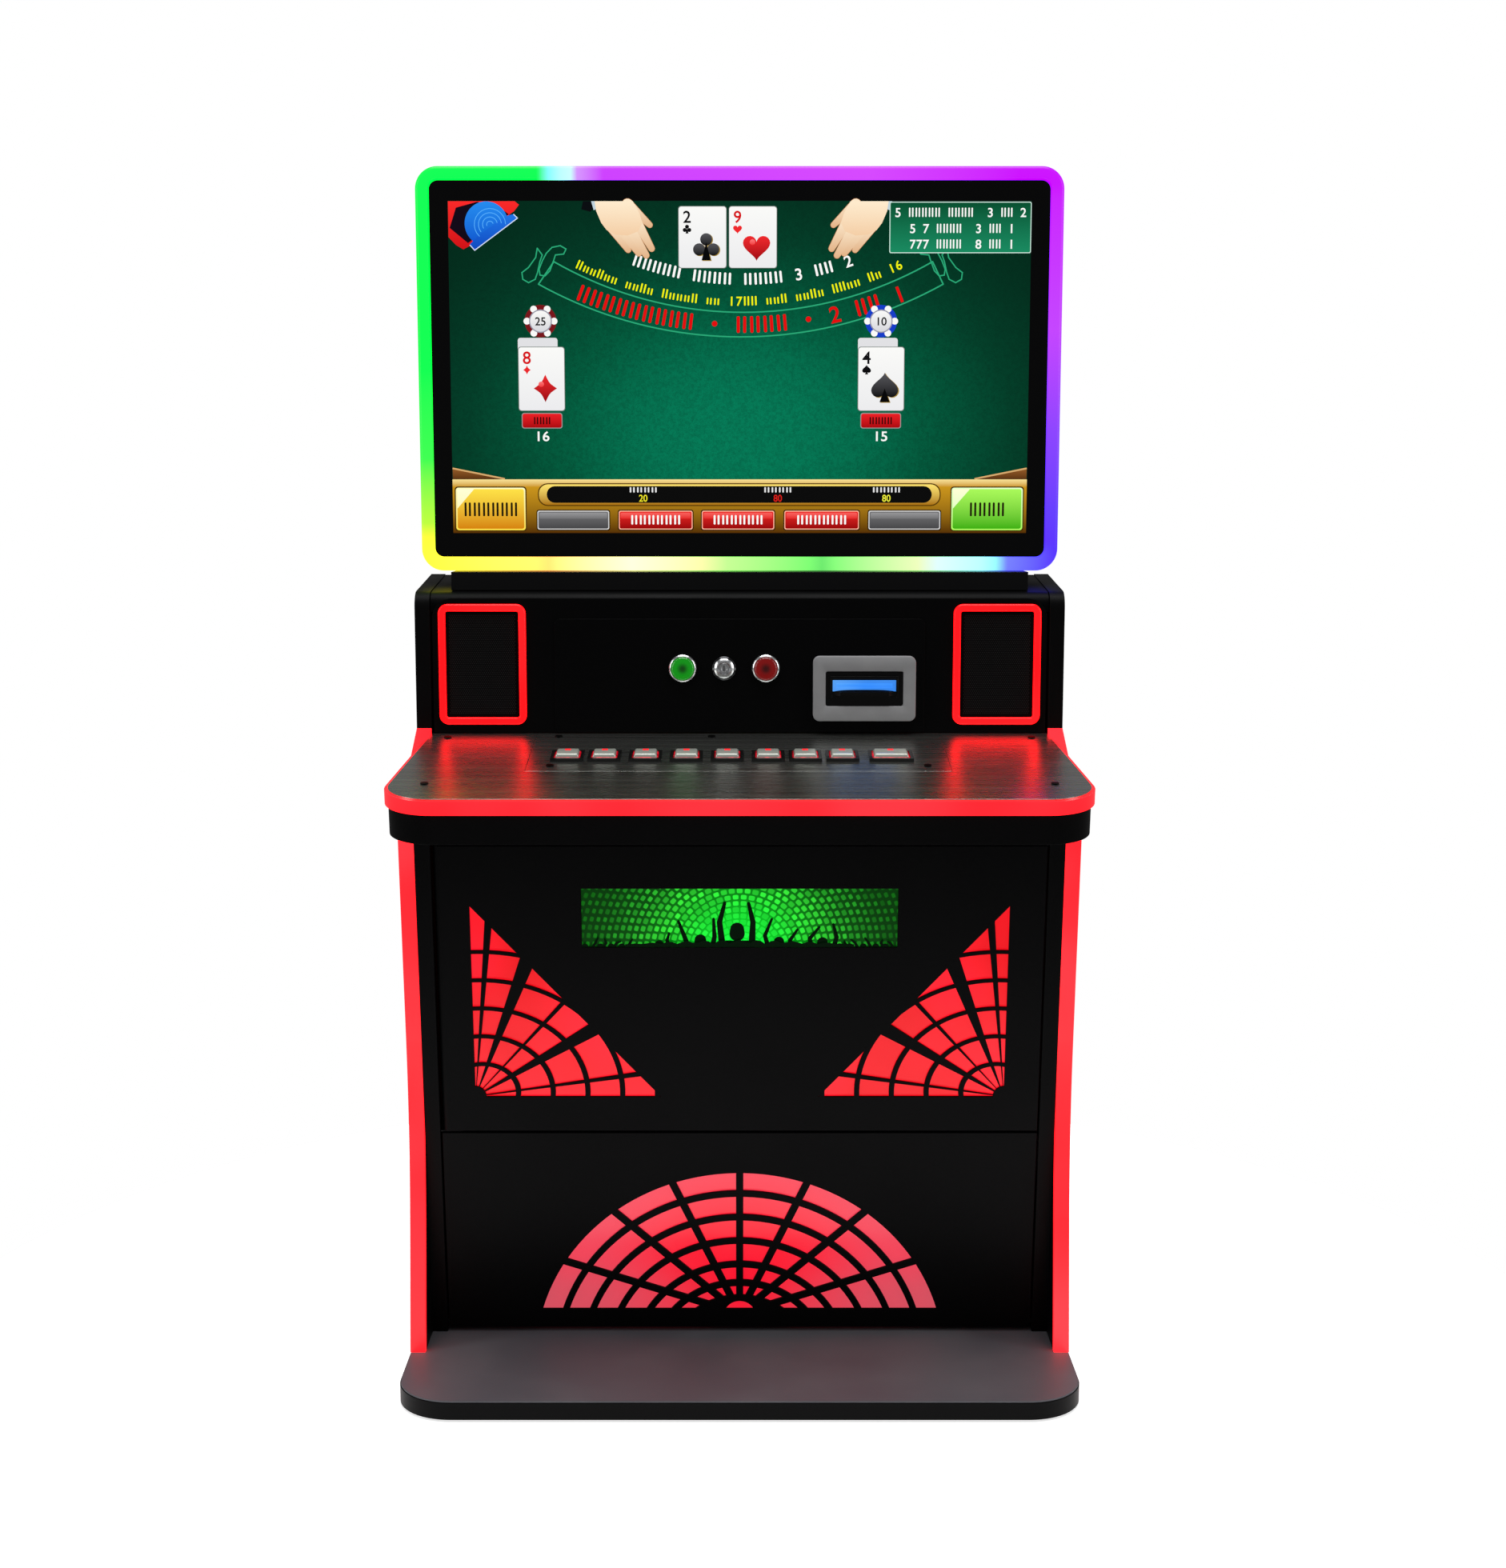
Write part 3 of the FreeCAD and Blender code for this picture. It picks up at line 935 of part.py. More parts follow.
wells = []
housings = []
WELL_WALL = "(key_wall-1)"
for index, x in enumerate(key_places, 1):
    base = "last_base" if index == len(key_places) else "key_base"
    low, high = f"{x}-{base}/2", f"{x}+{base}/2"
    near, far = "-button_row-key_base/2", "-button_row+key_base/2"
    rim = slab(f"key_rim_{index}", low, high, near, far, "0", "key_rim")
    core = slab(f"key_core_{index}", f"{low}+{WELL_WALL}", f"{high}-{WELL_WALL}", f"{near}+{WELL_WALL}",
                f"{far}-{WELL_WALL}", "-key_body", "key_rim")
    pocket = slab(f"key_pocket_{index}", f"{low}+key_wall", f"{high}-key_wall", f"{near}+key_wall",
                  f"{far}-key_wall", "-key_skirt-key_travel-2", "key_rim+1")
    housings.append(cut(f"key_housing_{index}", union(f"key_housing_solid_{index}", [rim, core]), pocket))
    wells.append(slab(f"key_well_{index}", f"{low}+{WELL_WALL}-run_gap", f"{high}-{WELL_WALL}+run_gap",
                      f"{near}+{WELL_WALL}-run_gap", f"{far}-{WELL_WALL}+run_gap", "-10", "10"))
    cap = slab(f"key_cap_{index}", f"{low}+key_wall+key_gap", f"{high}-key_wall-key_gap",
               f"{near}+key_wall+key_gap", f"{far}-key_wall-key_gap", "-key_skirt", "key_rise")
    node(slope(group(f"key_cap_group_{index}", [cap])), f"deck_button_{index}")
node(slope(group("key_housing_group", housings)), "deck_button_housings")
sheet_body = slab("button_sheet", PLATE_LEFT, PLATE_RIGHT, "-button_plate_depth", "0",
                  "-deck_plate", "0")
node(slope(cut("button_sheet_cut", sheet_body, wells + screw_holes["button"])), "button_plate")
node(slope(group("screw_group", screws)), "deck_screws")

# Inside: the game computer and the power supply stand on the tread.
node(box("computer_case", f"-({INSIDE})+40", "inside_front", FLOOR, "computer_width", "computer_depth",
         "computer_tall"), "computer_box")
node(box("supply_case", "60", "inside_front", FLOOR, "supply_width", "supply_depth", "supply_tall"),
     "power_supply")

doc.recompute()
for thing in doc.Objects:
    if "Invalid" in thing.State or "Error" in thing.State:
        raise SystemExit(f"{thing.Label} did not compute: {thing.State}")
for thing in nodes:
    if thing.Shape.isNull() or not thing.Shape.isValid() or not thing.Shape.Solids:
        raise SystemExit(f"{thing.Label} has no valid solid")

os.makedirs("parts", exist_ok=True)
for thing in nodes:
    thing.Shape.exportStep(f"parts/{thing.Label}.step")
    print(f"{thing.Label:24s} solids {len(thing.Shape.Solids):3d}  volume {thing.Shape.Volume / 1000:9.2f} cm3")
print(len(nodes), "nodes")
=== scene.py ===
"""The looks of an upright video gaming cabinet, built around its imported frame.

Metres. X runs to the player's right, -Y faces the player and Z is up.
"""
import json
import math
import random

import bmesh
import bpy
from mathutils import Matrix, Vector


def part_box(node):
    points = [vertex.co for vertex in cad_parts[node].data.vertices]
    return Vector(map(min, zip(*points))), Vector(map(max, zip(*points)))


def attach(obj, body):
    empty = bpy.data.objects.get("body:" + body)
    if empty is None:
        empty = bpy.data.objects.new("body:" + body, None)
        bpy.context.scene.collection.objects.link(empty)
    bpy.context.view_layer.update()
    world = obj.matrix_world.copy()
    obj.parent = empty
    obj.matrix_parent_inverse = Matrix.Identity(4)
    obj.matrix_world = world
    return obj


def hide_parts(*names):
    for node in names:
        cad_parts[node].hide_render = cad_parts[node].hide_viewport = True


# The studio: a round pale floor under the cabinet in a white room, soft panels of light above and
# beside it, and a camera that stands a little above the deck and looks slightly down.
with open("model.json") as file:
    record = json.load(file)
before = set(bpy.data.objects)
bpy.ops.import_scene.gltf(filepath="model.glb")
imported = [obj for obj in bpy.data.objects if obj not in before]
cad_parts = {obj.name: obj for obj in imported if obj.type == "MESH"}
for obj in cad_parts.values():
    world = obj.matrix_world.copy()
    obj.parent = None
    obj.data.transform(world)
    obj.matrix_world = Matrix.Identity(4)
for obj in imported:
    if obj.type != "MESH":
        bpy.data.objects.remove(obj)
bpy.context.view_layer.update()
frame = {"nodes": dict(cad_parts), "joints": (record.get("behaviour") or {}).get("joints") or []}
MM = 0.001
scene = bpy.context.scene
scene.view_settings.view_transform = "Standard"


def srgb(red, green, blue):
    """A linear colour from the eight-bit values of a screen."""
    channels = [value / 255 for value in (red, green, blue)]
    return tuple(c / 12.92 if c <= 0.04045 else ((c + 0.055) / 1.055) ** 2.4 for c in channels)


class Value:
    """A socket in a material that ordinary sums can use."""

    def __init__(self, finish, socket):
        self.finish = finish
        self.socket = socket

    def sum(self, operation, *values):
        return self.finish.node("Math", {"operation": operation}, dict(enumerate(values)))

    def __add__(self, other):
        return self.sum("ADD", self, other)

    def __mul__(self, other):
        return self.sum("MULTIPLY", self, other)

    def __sub__(self, other):
        return self.sum("SUBTRACT", self, other)

    def __rsub__(self, other):
        return self.sum("SUBTRACT", other, self)

    def __truediv__(self, other):
        return self.sum("DIVIDE", self, other)

    def __pow__(self, other):
        return self.sum("POWER", self, other)

    def __gt__(self, other):
        return self.sum("GREATER_THAN", self, other)

    def floor(self):
        return self.sum("FLOOR", self)

    def smooth(self, low, high):
        settings = {"interpolation_type": "SMOOTHSTEP"}
        return self.finish.node("MapRange", settings, {"Value": self, "From Min": low, "From Max": high})


class Finish:
    """One material: a shader with fixed values, and the nodes that vary them over the surface."""

    def __init__(self, name, colour, roughness, **fixed):
        self.material = bpy.data.materials.new(name)
        self.material.use_nodes = True
        self.tree = self.material.node_tree
        self.shader = self.tree.nodes["Principled BSDF"]
        self.shader.inputs["Base Color"].default_value = (*colour, 1)
        self.shader.inputs["Roughness"].default_value = roughness
        for name_of_input, number in fixed.items():
            self.shader.inputs[name_of_input.replace("_", " ")].default_value = number

    def node(self, kind, settings, inputs, output=0):
        made = self.tree.nodes.new("ShaderNode" + kind)
        stops = settings.pop("stops", None)
        for name, setting in settings.items():
            setattr(made, name, setting)
        if stops:
            ramp = made.color_ramp
            while len(ramp.elements) < len(stops):
                ramp.elements.new(0.5)
            for element, (place, colour) in zip(ramp.elements, stops):
                element.position = place
                element.color = (*colour, 1)
        for name, value in inputs.items():
            if isinstance(value, Value):
                self.tree.links.new(value.socket, made.inputs[name])
            else:
                made.inputs[name].default_value = value
        return Value(self, made.outputs[output])

    def place(self, scale=(1, 1, 1), shift=(0, 0, 0)):
        """Object coordinates in metres, stretched and shifted."""
        start = self.node("TexCoord", {}, {}, "Object")
        return self.node("Mapping", {}, {"Vector": start, "Scale": scale, "Location": shift})

    def parts(self, vector):
        split = self.tree.nodes.new("ShaderNodeSeparateXYZ")
        self.tree.links.new(vector.socket, split.inputs[0])
        return [Value(self, socket) for socket in split.outputs]

    def noise(self, scale, detail=2, vector=None):
        inputs = {"Vector": vector or self.place(), "Scale": scale, "Detail": detail}
        return self.node("TexNoise", {}, inputs, "Fac")

    def blend(self, factor, first, second):
        inputs = {0: factor, 6: first if isinstance(first, Value) else (*first, 1),
                  7: second if isinstance(second, Value) else (*second, 1)}
        return self.node("Mix", {"data_type": "RGBA"}, inputs, 2)

    def ramp(self, factor, stops):
        return self.node("ValToRGB", {"stops": stops}, {"Fac": factor})

    def drive(self, socket, value):
        self.tree.links.new(value.socket, self.shader.inputs[socket])
        return self

    def bump(self, height, distance, strength=1.0, soft_edge=0.0):
        """Relief from a height; soft_edge rounds sharp folds to the eye."""
        inputs = {"Height": height, "Distance": distance, "Strength": strength}
        if soft_edge:
            inputs["Normal"] = self.node("Bevel", {"samples": 4}, {"Radius": soft_edge})
        return self.drive("Normal", self.node("Bump", {}, inputs))

    def grain(self, scale, detail, distance, strength, soft_edge=0.0):
        """Fine relief from plain noise."""
        return self.bump(self.noise(scale, detail), distance, strength, soft_edge)

    def sheen(self, scale, detail, swing, least):
        """Roughness that wanders with plain noise."""
        return self.drive("Roughness", self.noise(scale, detail) * swing + least)

    def glow(self, colour, strength):
        self.shader.inputs["Emission Color"].default_value = (*colour, 1)
        self.shader.inputs["Emission Strength"].default_value = strength
        return self


def dress(finish, *nodes):
    """Give CAD nodes a finish."""
    for name in nodes:
        slots = frame["nodes"][name].data.materials
        slots.clear()
        slots.append(finish.material)


floor_paint = Finish("studio_floor", (0.93, 0.93, 0.93), 0.7)
floor_paint.glow((1, 1, 1), 0.7)
floor_paint.sheen(3.0, 2, 0.1, 0.65)
floor_mesh = bpy.data.meshes.new("studio_floor")
FLOOR_RADIUS = 1.05
FLOOR_SIDES = 96
floor_turns = [math.pi * step / (FLOOR_SIDES / 2) for step in range(FLOOR_SIDES)]
floor_rim = [(FLOOR_RADIUS * math.cos(turn), FLOOR_RADIUS * math.sin(turn), 0) for turn in floor_turns]
floor_mesh.from_pydata(floor_rim, [], [tuple(range(FLOOR_SIDES))])
studio_floor = bpy.data.objects.new("studio_floor", floor_mesh)
scene.collection.objects.link(studio_floor)
floor_mesh.materials.append(floor_paint.material)

world = bpy.data.worlds.new("studio_air")
world.use_nodes = True
air = world.node_tree.nodes["Background"]
air.inputs["Color"].default_value = (1, 1, 1, 1)
seen = world.node_tree.nodes.new("ShaderNodeLightPath").outputs["Is Camera Ray"]
level = world.node_tree.nodes.new("ShaderNodeMapRange")
LIGHT_OF_THE_ROOM, WALLS_TO_THE_EYE = 0.16, 1.0
level.inputs["To Min"].default_value = LIGHT_OF_THE_ROOM
level.inputs["To Max"].default_value = WALLS_TO_THE_EYE
world.node_tree.links.new(seen, level.inputs["Value"])
world.node_tree.links.new(level.outputs[0], air.inputs["Strength"])
scene.world = world


def light_panel(name, place, target, size, power):
    lamp = bpy.data.lights.new(name, "AREA")
    lamp.shape = "RECTANGLE"
    lamp.size, lamp.size_y = size
    lamp.energy = power
    holder = bpy.data.objects.new(name, lamp)
    holder.location = place
    holder.rotation_euler = (Vector(target) - Vector(place)).to_track_quat("-Z", "Y").to_euler()
    scene.collection.objects.link(holder)
    return holder


light_panel("overhead_panel", (0, -0.5, 4.0), (0, 0, 0.6), (2.6, 2.0), 85)
light_panel("left_panel", (-3.4, -1.6, 1.9), (0, 0, 0.7), (0.9, 2.4), 26)
light_panel("right_panel", (3.4, -1.6, 1.9), (0, 0, 0.7), (0.9, 2.4), 26)
rear_panel = light_panel("rear_panel", (0, 2.8, 3.5), (0, 0, 0.7), (2.6, 1.6), 110)
rear_panel.visible_glossy = False

camera_data = bpy.data.cameras.new("camera")
camera_data.lens = 50.2
camera_data.sensor_width = 36.0
camera_data.shift_x = 0.0085
camera = bpy.data.objects.new("camera", camera_data)
camera.location = (0.0, -2.6315, 1.061)
LOOKING_DOWN = 7.9
camera.rotation_euler = (math.radians(90 - LOOKING_DOWN), 0, 0)
scene.collection.objects.link(camera)
scene.camera = camera


# Feet and base: rubber pads under a black board, with a grey pressed tread laid on it. Its front
# corners are round, and the tread's rolled edge catches a thin line of light.
rubber = Finish("foot_rubber", (0.012, 0.012, 0.012), 0.85)
rubber.grain(900, 3, 0.0004, 0.5)
dress(rubber, "base_feet")

black_board = Finish("black_board", (0.0022, 0.0022, 0.0024), 0.42, Specular_IOR_Level=0.07)
pebble = black_board.node("TexVoronoi", {}, {"Vector": black_board.place(), "Scale": 1400.0}, "Distance")
black_board.bump(pebble, 0.00025, 0.25, soft_edge=1.5 * MM)
black_board.sheen(35, 4, 0.12, 0.36)
dress(black_board, "base_plate", "side_panel_left", "side_panel_right")

tread = Finish("grey_tread", srgb(96, 96, 102), 0.5, Specular_IOR_Level=0.3)
grain = tread.noise(1500, 2)
tread.bump(grain, 0.0002, 0.3, soft_edge=1.5 * MM)
worn = tread.noise(6, 4).smooth(0.35, 0.7)
tread.drive("Base Color", tread.blend(worn, srgb(96, 96, 102), srgb(108, 108, 113)))
tread.drive("Roughness", worn * 0.1 + grain * 0.08 + 0.46)
dress(tread, "base_tread")


# Lit edges: strips of red acrylic let into the front edge of each side board, from the floor to the
# head. They are brightest along the middle, where the lamps stand behind them.
def acrylic(name, deep, bright, strength, scale=7.0, low=0.3, high=0.75):
    """Lit coloured plastic: a glossy skin over a glow that drifts a little from lamp to lamp."""
    made = Finish(name, tuple(0.3 * channel for channel in deep), 0.3, Coat_Weight=0.15, Coat_Roughness=0.15,
                  Specular_IOR_Level=0.3)
    made.glow(bright, strength)
    made.drive("Emission Color", made.blend(made.noise(scale, 1).smooth(low, high), deep, bright))
    made.grain(700, 1, 0.0001, 0.15)
    return made


red_acrylic = acrylic("red_acrylic", (0.6, 0.004, 0.007), (1.0, 0.0105, 0.015), 3.6)
dress(red_acrylic, "edge_light_left", "edge_light_right")


# Front doors: two folded steel pans in black powder coat, cut with web windows and hung on steel
# hinges between posts and rails. Sheets of red acrylic stand behind the windows and are lit from
# inside; head and tray wear the same coat.
powder = Finish("black_powder_coat", (0.0018, 0.0018, 0.002), 0.4, Specular_IOR_Level=0.06)
peel = powder.noise(420, 3)
powder.bump(peel, 0.0003, 0.28, soft_edge=1.2 * MM)
powder.drive("Roughness", powder.noise(9, 4) * 0.14 + peel * 0.05 + 0.34)
dress(powder, "upper_door", "lower_door", "door_posts", "cross_rails", "head_cover", "head_front",
      "deck_tray")

black_oxide = Finish("black_oxide", (0.01, 0.01, 0.01), 0.4, Metallic=0.8)
black_oxide.sheen(300, 2, 0.2, 0.35)
dress(black_oxide, "hinge_hardware")

web_red = acrylic("web_red", (0.62, 0.0015, 0.006), (0.8, 0.0045, 0.017), 1.3, scale=9.0)
dress(web_red, "upper_door_diffusers")

# The lower sheet is lit from its middle, so it pales towards the rim of the web and its chord.
fan_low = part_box("lower_door_diffuser")[0]
fan_red = Finish("fan_red", srgb(120, 10, 16), 0.28, Coat_Weight=0.25, Coat_Roughness=0.12)
fan_red.glow(srgb(255, 30, 46), 1.0)
fan_x, _, fan_z = fan_red.parts(fan_red.place())
fan_centre = fan_low[2] + 0.075
fan_reach = ((fan_x * 0.78) ** 2 + (fan_z - fan_centre) ** 2) ** 0.5
fan_pale = fan_reach.smooth(0.035, 0.15)
fan_tone = fan_red.blend(fan_pale, srgb(246, 8, 42), srgb(232, 62, 84))
fan_aside = (fan_x ** 2) ** 0.5
fan_foot = 1 - (fan_z - fan_low[2]).smooth(0.02, 0.09)
fan_tone = fan_red.blend(fan_aside * fan_foot * 3.2, fan_tone, srgb(196, 84, 98))
fan_red.drive("Emission Color", fan_tone)
fan_red.grain(700, 1, 0.0001, 0.15)
dress(fan_red, "lower_door_diffuser")


# Banner: a printed film behind a window in the upper door. Green halftone dots ring the middle of
# its lower edge, and a crowd of raised arms is printed over them in near black.
lean_axis = [joint for joint in frame["joints"] if joint["name"] == "upper_door_swing"][0]["axis"]
LEAN = math.atan2(abs(lean_axis[1]), abs(lean_axis[2]))
banner_low, banner_high = (Vector(corner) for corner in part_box("banner_panel"))
BANNER_MARGIN = 7 * MM
banner_base = banner_low.z + BANNER_MARGIN
banner_tall = (banner_high.z - banner_low.z - 2 * BANNER_MARGIN) / math.cos(LEAN)
film = Finish("banner_film", (0.0, 0.01, 0.0), 0.35, Specular_IOR_Level=0.12)
film.glow(srgb(20, 200, 40), 1.0)
across, _, up = film.parts(film.place())
lift = up - (banner_base - 0.012)
ring = (across ** 2 + lift ** 2) ** 0.5
turn = film.node("Math", {"operation": "ARCTAN2"}, {0: lift, 1: across})
RING_PITCH = 7.6 * MM
ring_step = (ring / RING_PITCH).floor()
dots_round = (ring_step * 2.2 + 5).floor()
cell_out = (ring / RING_PITCH - ring_step) - 0.5
dots_passed = turn / math.pi * dots_round
cell_round = (dots_passed - dots_passed.floor()) - 0.5
cell = (cell_out ** 4 + cell_round ** 4) ** 0.25
seed = film.node("CombineXYZ", {}, {0: ring_step, 1: dots_passed.floor()})
chance = film.node("TexWhiteNoise", {}, {"Vector": seed}, "Value")
far = ring.smooth(0.0, 0.19)
dot_edge = 0.47 - far * 0.13 - chance * 0.06
dot = 1 - cell.smooth(dot_edge - 0.07, dot_edge + 0.03)
backdrop = film.ramp(far, [(0.0, srgb(0, 236, 50)), (0.12, srgb(0, 205, 36)), (0.3, srgb(0, 138, 18)),
                           (0.7, srgb(0, 76, 6)), (1.0, srgb(0, 52, 3))])
lit_dot = film.ramp(far, [(0.0, srgb(24, 255, 70)), (0.25, srgb(40, 255, 62)), (0.5, srgb(60, 246, 60)),
                          (0.8, srgb(40, 176, 42)), (1.0, srgb(14, 110, 16))])
film.drive("Emission Color", film.blend(dot * (chance * 0.6 + 0.4), backdrop, lit_dot))
dress(film, "banner_panel")

ink = Finish("crowd_ink", (0.0, 0.0012, 0.0), 0.4, Specular_IOR_Level=0.06)
ink.glow(srgb(0, 16, 2), 1.0)
ink.sheen(200, 1, 0.1, 0.3)


def new_piece(name, mesh, finish, body):
    """Put a mesh in the scene as a piece that rides on a body."""
    piece = bpy.data.objects.new(name, mesh)
    scene.collection.objects.link(piece)
    if finish:
        mesh.materials.clear()
        mesh.materials.append(finish.material)
    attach(piece, body)
    return piece


def mesh_of(shape, name, crease=None):
    """The mesh of a finished shape; folds sharper than the crease, in degrees, stay sharp."""
    mesh = bpy.data.meshes.new(name)
    shape.to_mesh(mesh)
    shape.free()
    if crease:
        mesh.set_sharp_from_angle(angle=math.radians(crease))
    return mesh


def capsule(start, end, radius_start, radius_end, steps=7):
    """The outline of a limb between two points, in flat coordinates."""
    start, end = Vector(start), Vector(end)
    along = (end - start).normalized()
    aside = Vector((-along.y, along.x))
    points = []
    for centre, radius, first in ((start, radius_start, math.pi / 2), (end, radius_end, -math.pi / 2)):
        for step in range(steps + 1):
            angle = first + math.pi * step / steps
            points.append(centre + (along * math.cos(angle) + aside * math.sin(angle)) * radius)
    return points


crowd = bmesh.new()
crowd_random = random.Random(7)
DEPTH_STEP = 0.02 * MM


def print_shape(points, layer):
    """Lay one flat shape on the leaning film; points are metres from its lower middle."""
    corners = []
    for point in points:
        height = min(max(point.y, 0.0), banner_tall)
        y = banner_low.y - 0.1 * MM - layer * DEPTH_STEP
        corners.append(crowd.verts.new((point.x, y, height)))
    crowd.faces.new(corners)


def reveller(x, head, neck, arms, layer):
    """One dancer: a head, shoulders and raised arms."""
    print_shape(capsule((x, neck), (x, neck + head * 0.5), head * 0.78, head * 0.72), layer)
    shoulder = neck - head * 1.5
    print_shape(capsule((x - head * 1.1, shoulder), (x + head * 1.1, shoulder), head * 0.8, head * 0.8),
                layer + 1)
    for order, (side, elbow, hand) in enumerate(arms, 2):
        bend, tip = [(x + reach[0], reach[1]) for reach in (elbow, hand)]
        print_shape(capsule((x + side * head * 1.5, shoulder), bend, head * 0.36, head * 0.28), layer + order)
        print_shape(capsule(bend, tip, head * 0.28, head * 0.17), layer + order + 3)


for order, (x, head, neck, arms) in enumerate((
        (-0.003, 0.0115, 0.0155, ((-1, (-0.0205, 0.03), (-0.0145, 0.0535)),
                                   (1, (0.0185, 0.03), (0.0135, 0.053)))),
        (-0.046, 0.0095, 0.0035, ((-1, (-0.019, 0.0135), (-0.0255, 0.031)),
                                   (1, (0.0165, 0.012), (0.0155, 0.034)))),
        (0.046, 0.0085, 0.002, ((-1, (-0.0165, 0.0135), (-0.0085, 0.034)),
                                 (1, (0.013, 0.008), (0.0215, 0.021)))),
        (0.097, 0.0088, 0.001, ((-1, (-0.015, 0.01), (-0.004, 0.024)),
                                 (1, (0.0165, 0.0115), (0.0125, 0.0275)))),
        (-0.094, 0.0075, -0.001, ((1, (0.009, 0.008), (0.0115, 0.0165)),)))):
    reveller(x, head, neck, arms, 9 * order)
for index in range(10):
    side = -1 if index % 2 else 1
    x = side * (0.118 + 0.0068 * index + crowd_random.uniform(-0.003, 0.003))
    reach = crowd_random.uniform(0.006, 0.012)
    hand = (side * crowd_random.uniform(0.001, 0.008), reach)
    reveller(x, 0.006, -0.003, ((side, (side * 0.006, 0.005), hand),), 45 + 6 * index)
HILL_STEPS = 44
hill = [(-0.134 + 0.268 * step / HILL_STEPS,
         0.0035 + 0.0055 * abs(math.sin(step * 0.93)) * (1 - (2 * step / HILL_STEPS - 1) ** 2))
        for step in range(HILL_STEPS + 1)]
print_shape([Vector(point) for point in hill + [(0.134, 0.0), (-0.134, 0.0)]], 110)
crowd_mesh = mesh_of(crowd, "banner_crowd")
hold = Vector((0, banner_low.y - 0.1 * MM, 0))
tilt = Matrix.Rotation(LEAN, 4, "X")
FILM_DEPTH = 3.2 * MM
film_y = banner_high.y - FILM_DEPTH * math.cos(LEAN) - BANNER_MARGIN * math.sin(LEAN)
film_bottom = Vector((0, film_y, banner_base))
crowd_mesh.transform(Matrix.Translation(film_bottom + Vector((0, -0.25 * MM, 0))) @ tilt
                     @ Matrix.Translation(-hold))
new_piece("banner_crowd", crowd_mesh, ink, "upper_door")


# Deck: a black folded tray behind a red lit band, and a brushed steel top. The grain runs from side
# to side, so reflections are drawn out towards the player.
brushed = Finish("brushed_deck_steel", srgb(200, 200, 198), 0.36, Metallic=1.0)
fine = brushed.noise(1.0, 3, brushed.place((12, 2600, 2600)))
coarse = brushed.noise(1.0, 2, brushed.place((3, 420, 420)))
streak = brushed.noise(1.0, 3, brushed.place((1.5, 320, 320)))
brushed.drive("Base Color", brushed.blend((fine * 0.4 + coarse * 0.4 + streak * 0.2).smooth(0.3, 0.7),
                                          srgb(170, 173, 168), srgb(208, 210, 205)))
brushed.drive("Roughness", coarse * 0.1 + fine * 0.1 + 0.17)
brushed.bump(fine * 0.6 + coarse * 0.4, 0.0004, 0.4, soft_edge=0.8 * MM)
dress(brushed, "deck_top", "button_plate")
dress(red_acrylic, "deck_edge_light")
screw_black = Finish("screw_black", (0.01, 0.01, 0.01), 0.4, Metallic=1.0)
screw_black.sheen(500, 2, 0.3, 0.25)
dress(screw_black, "deck_screws")

# Deck keys: nine clear caps on a silvered base, each in a black collar. Red light leaks from under
# each cap at its sides, and a small red lamp shows through its top.
press_axis = [joint for joint in frame["joints"] if joint["name"] == "deck_button_1_press"][0]["axis"]
SLOPE = math.atan2(abs(press_axis[1]), abs(press_axis[2]))
onto_deck = Matrix.Rotation(SLOPE, 4, "X")


def deck_box(name):
    """A node's box in the deck's own directions."""
    corners = [onto_deck.inverted() @ vertex.co for vertex in frame["nodes"][name].data.vertices]
    low = Vector([min(corner[axis] for corner in corners) for axis in range(3)])
    high = Vector([max(corner[axis] for corner in corners) for axis in range(3)])
    return low, high


def block(low, high, bevel, segments=3, top=0.0):
    """A block with rolled edges; top draws its upper face in on every side."""
    low, high = Vector(low), Vector(high)
    shape = bmesh.new()
    bmesh.ops.create_cube(shape, size=1)
    for vertex in shape.verts:
        at_top = vertex.co.z > 0
        for axis in range(3):
            span = high[axis] - low[axis]
            vertex.co[axis] = low[axis] + span * (vertex.co[axis] + 0.5)
            if at_top and axis < 2:
                middle = (high[axis] + low[axis]) / 2
                vertex.co[axis] += top if vertex.co[axis] < middle else -top
    bmesh.ops.bevel(shape, geom=shape.edges[:], offset=bevel, segments=segments, profile=0.5,
                    affect="EDGES", clamp_overlap=True)
    for face in shape.faces:
        face.smooth = True
    return mesh_of(shape, "block", 40)


def merged(name, meshes):
    """Join meshes into one."""
    shape = bmesh.new()
    for mesh in meshes:
        shape.from_mesh(mesh)
        bpy.data.meshes.remove(mesh)
    return mesh_of(shape, name)


silver_cap = Finish("silvered_cap", srgb(196, 200, 190), 0.3, Metallic=0.3, Coat_Weight=0.6,
                    Coat_Roughness=0.05)
silver_cap.grain(240, 2, 0.0003, 0.2)
silver_cap.sheen(120, 2, 0.14, 0.14)
cap_lamp = Finish("cap_lamp", srgb(120, 4, 4), 0.3, Coat_Weight=0.3)
cap_lamp.glow((1.0, 0.012, 0.02), 1.3)
cap_lamp.sheen(300, 1, 0.1, 0.25)
cap_glow = Finish("cap_skirt", srgb(50, 2, 4), 0.25, Coat_Weight=0.6, Coat_Roughness=0.08)
cap_glow.glow(srgb(235, 8, 30), 1.0)
cap_glow.drive("Emission Color", cap_glow.blend(cap_glow.noise(150, 2).smooth(0.35, 0.65), srgb(120, 0, 12),
                                                srgb(246, 14, 40)))
collar_black = Finish("collar_black", (0.006, 0.006, 0.006), 0.25, Coat_Weight=0.3)
collar_black.grain(600, 2, 0.0002, 0.2)
dress(collar_black, "deck_button_housings")

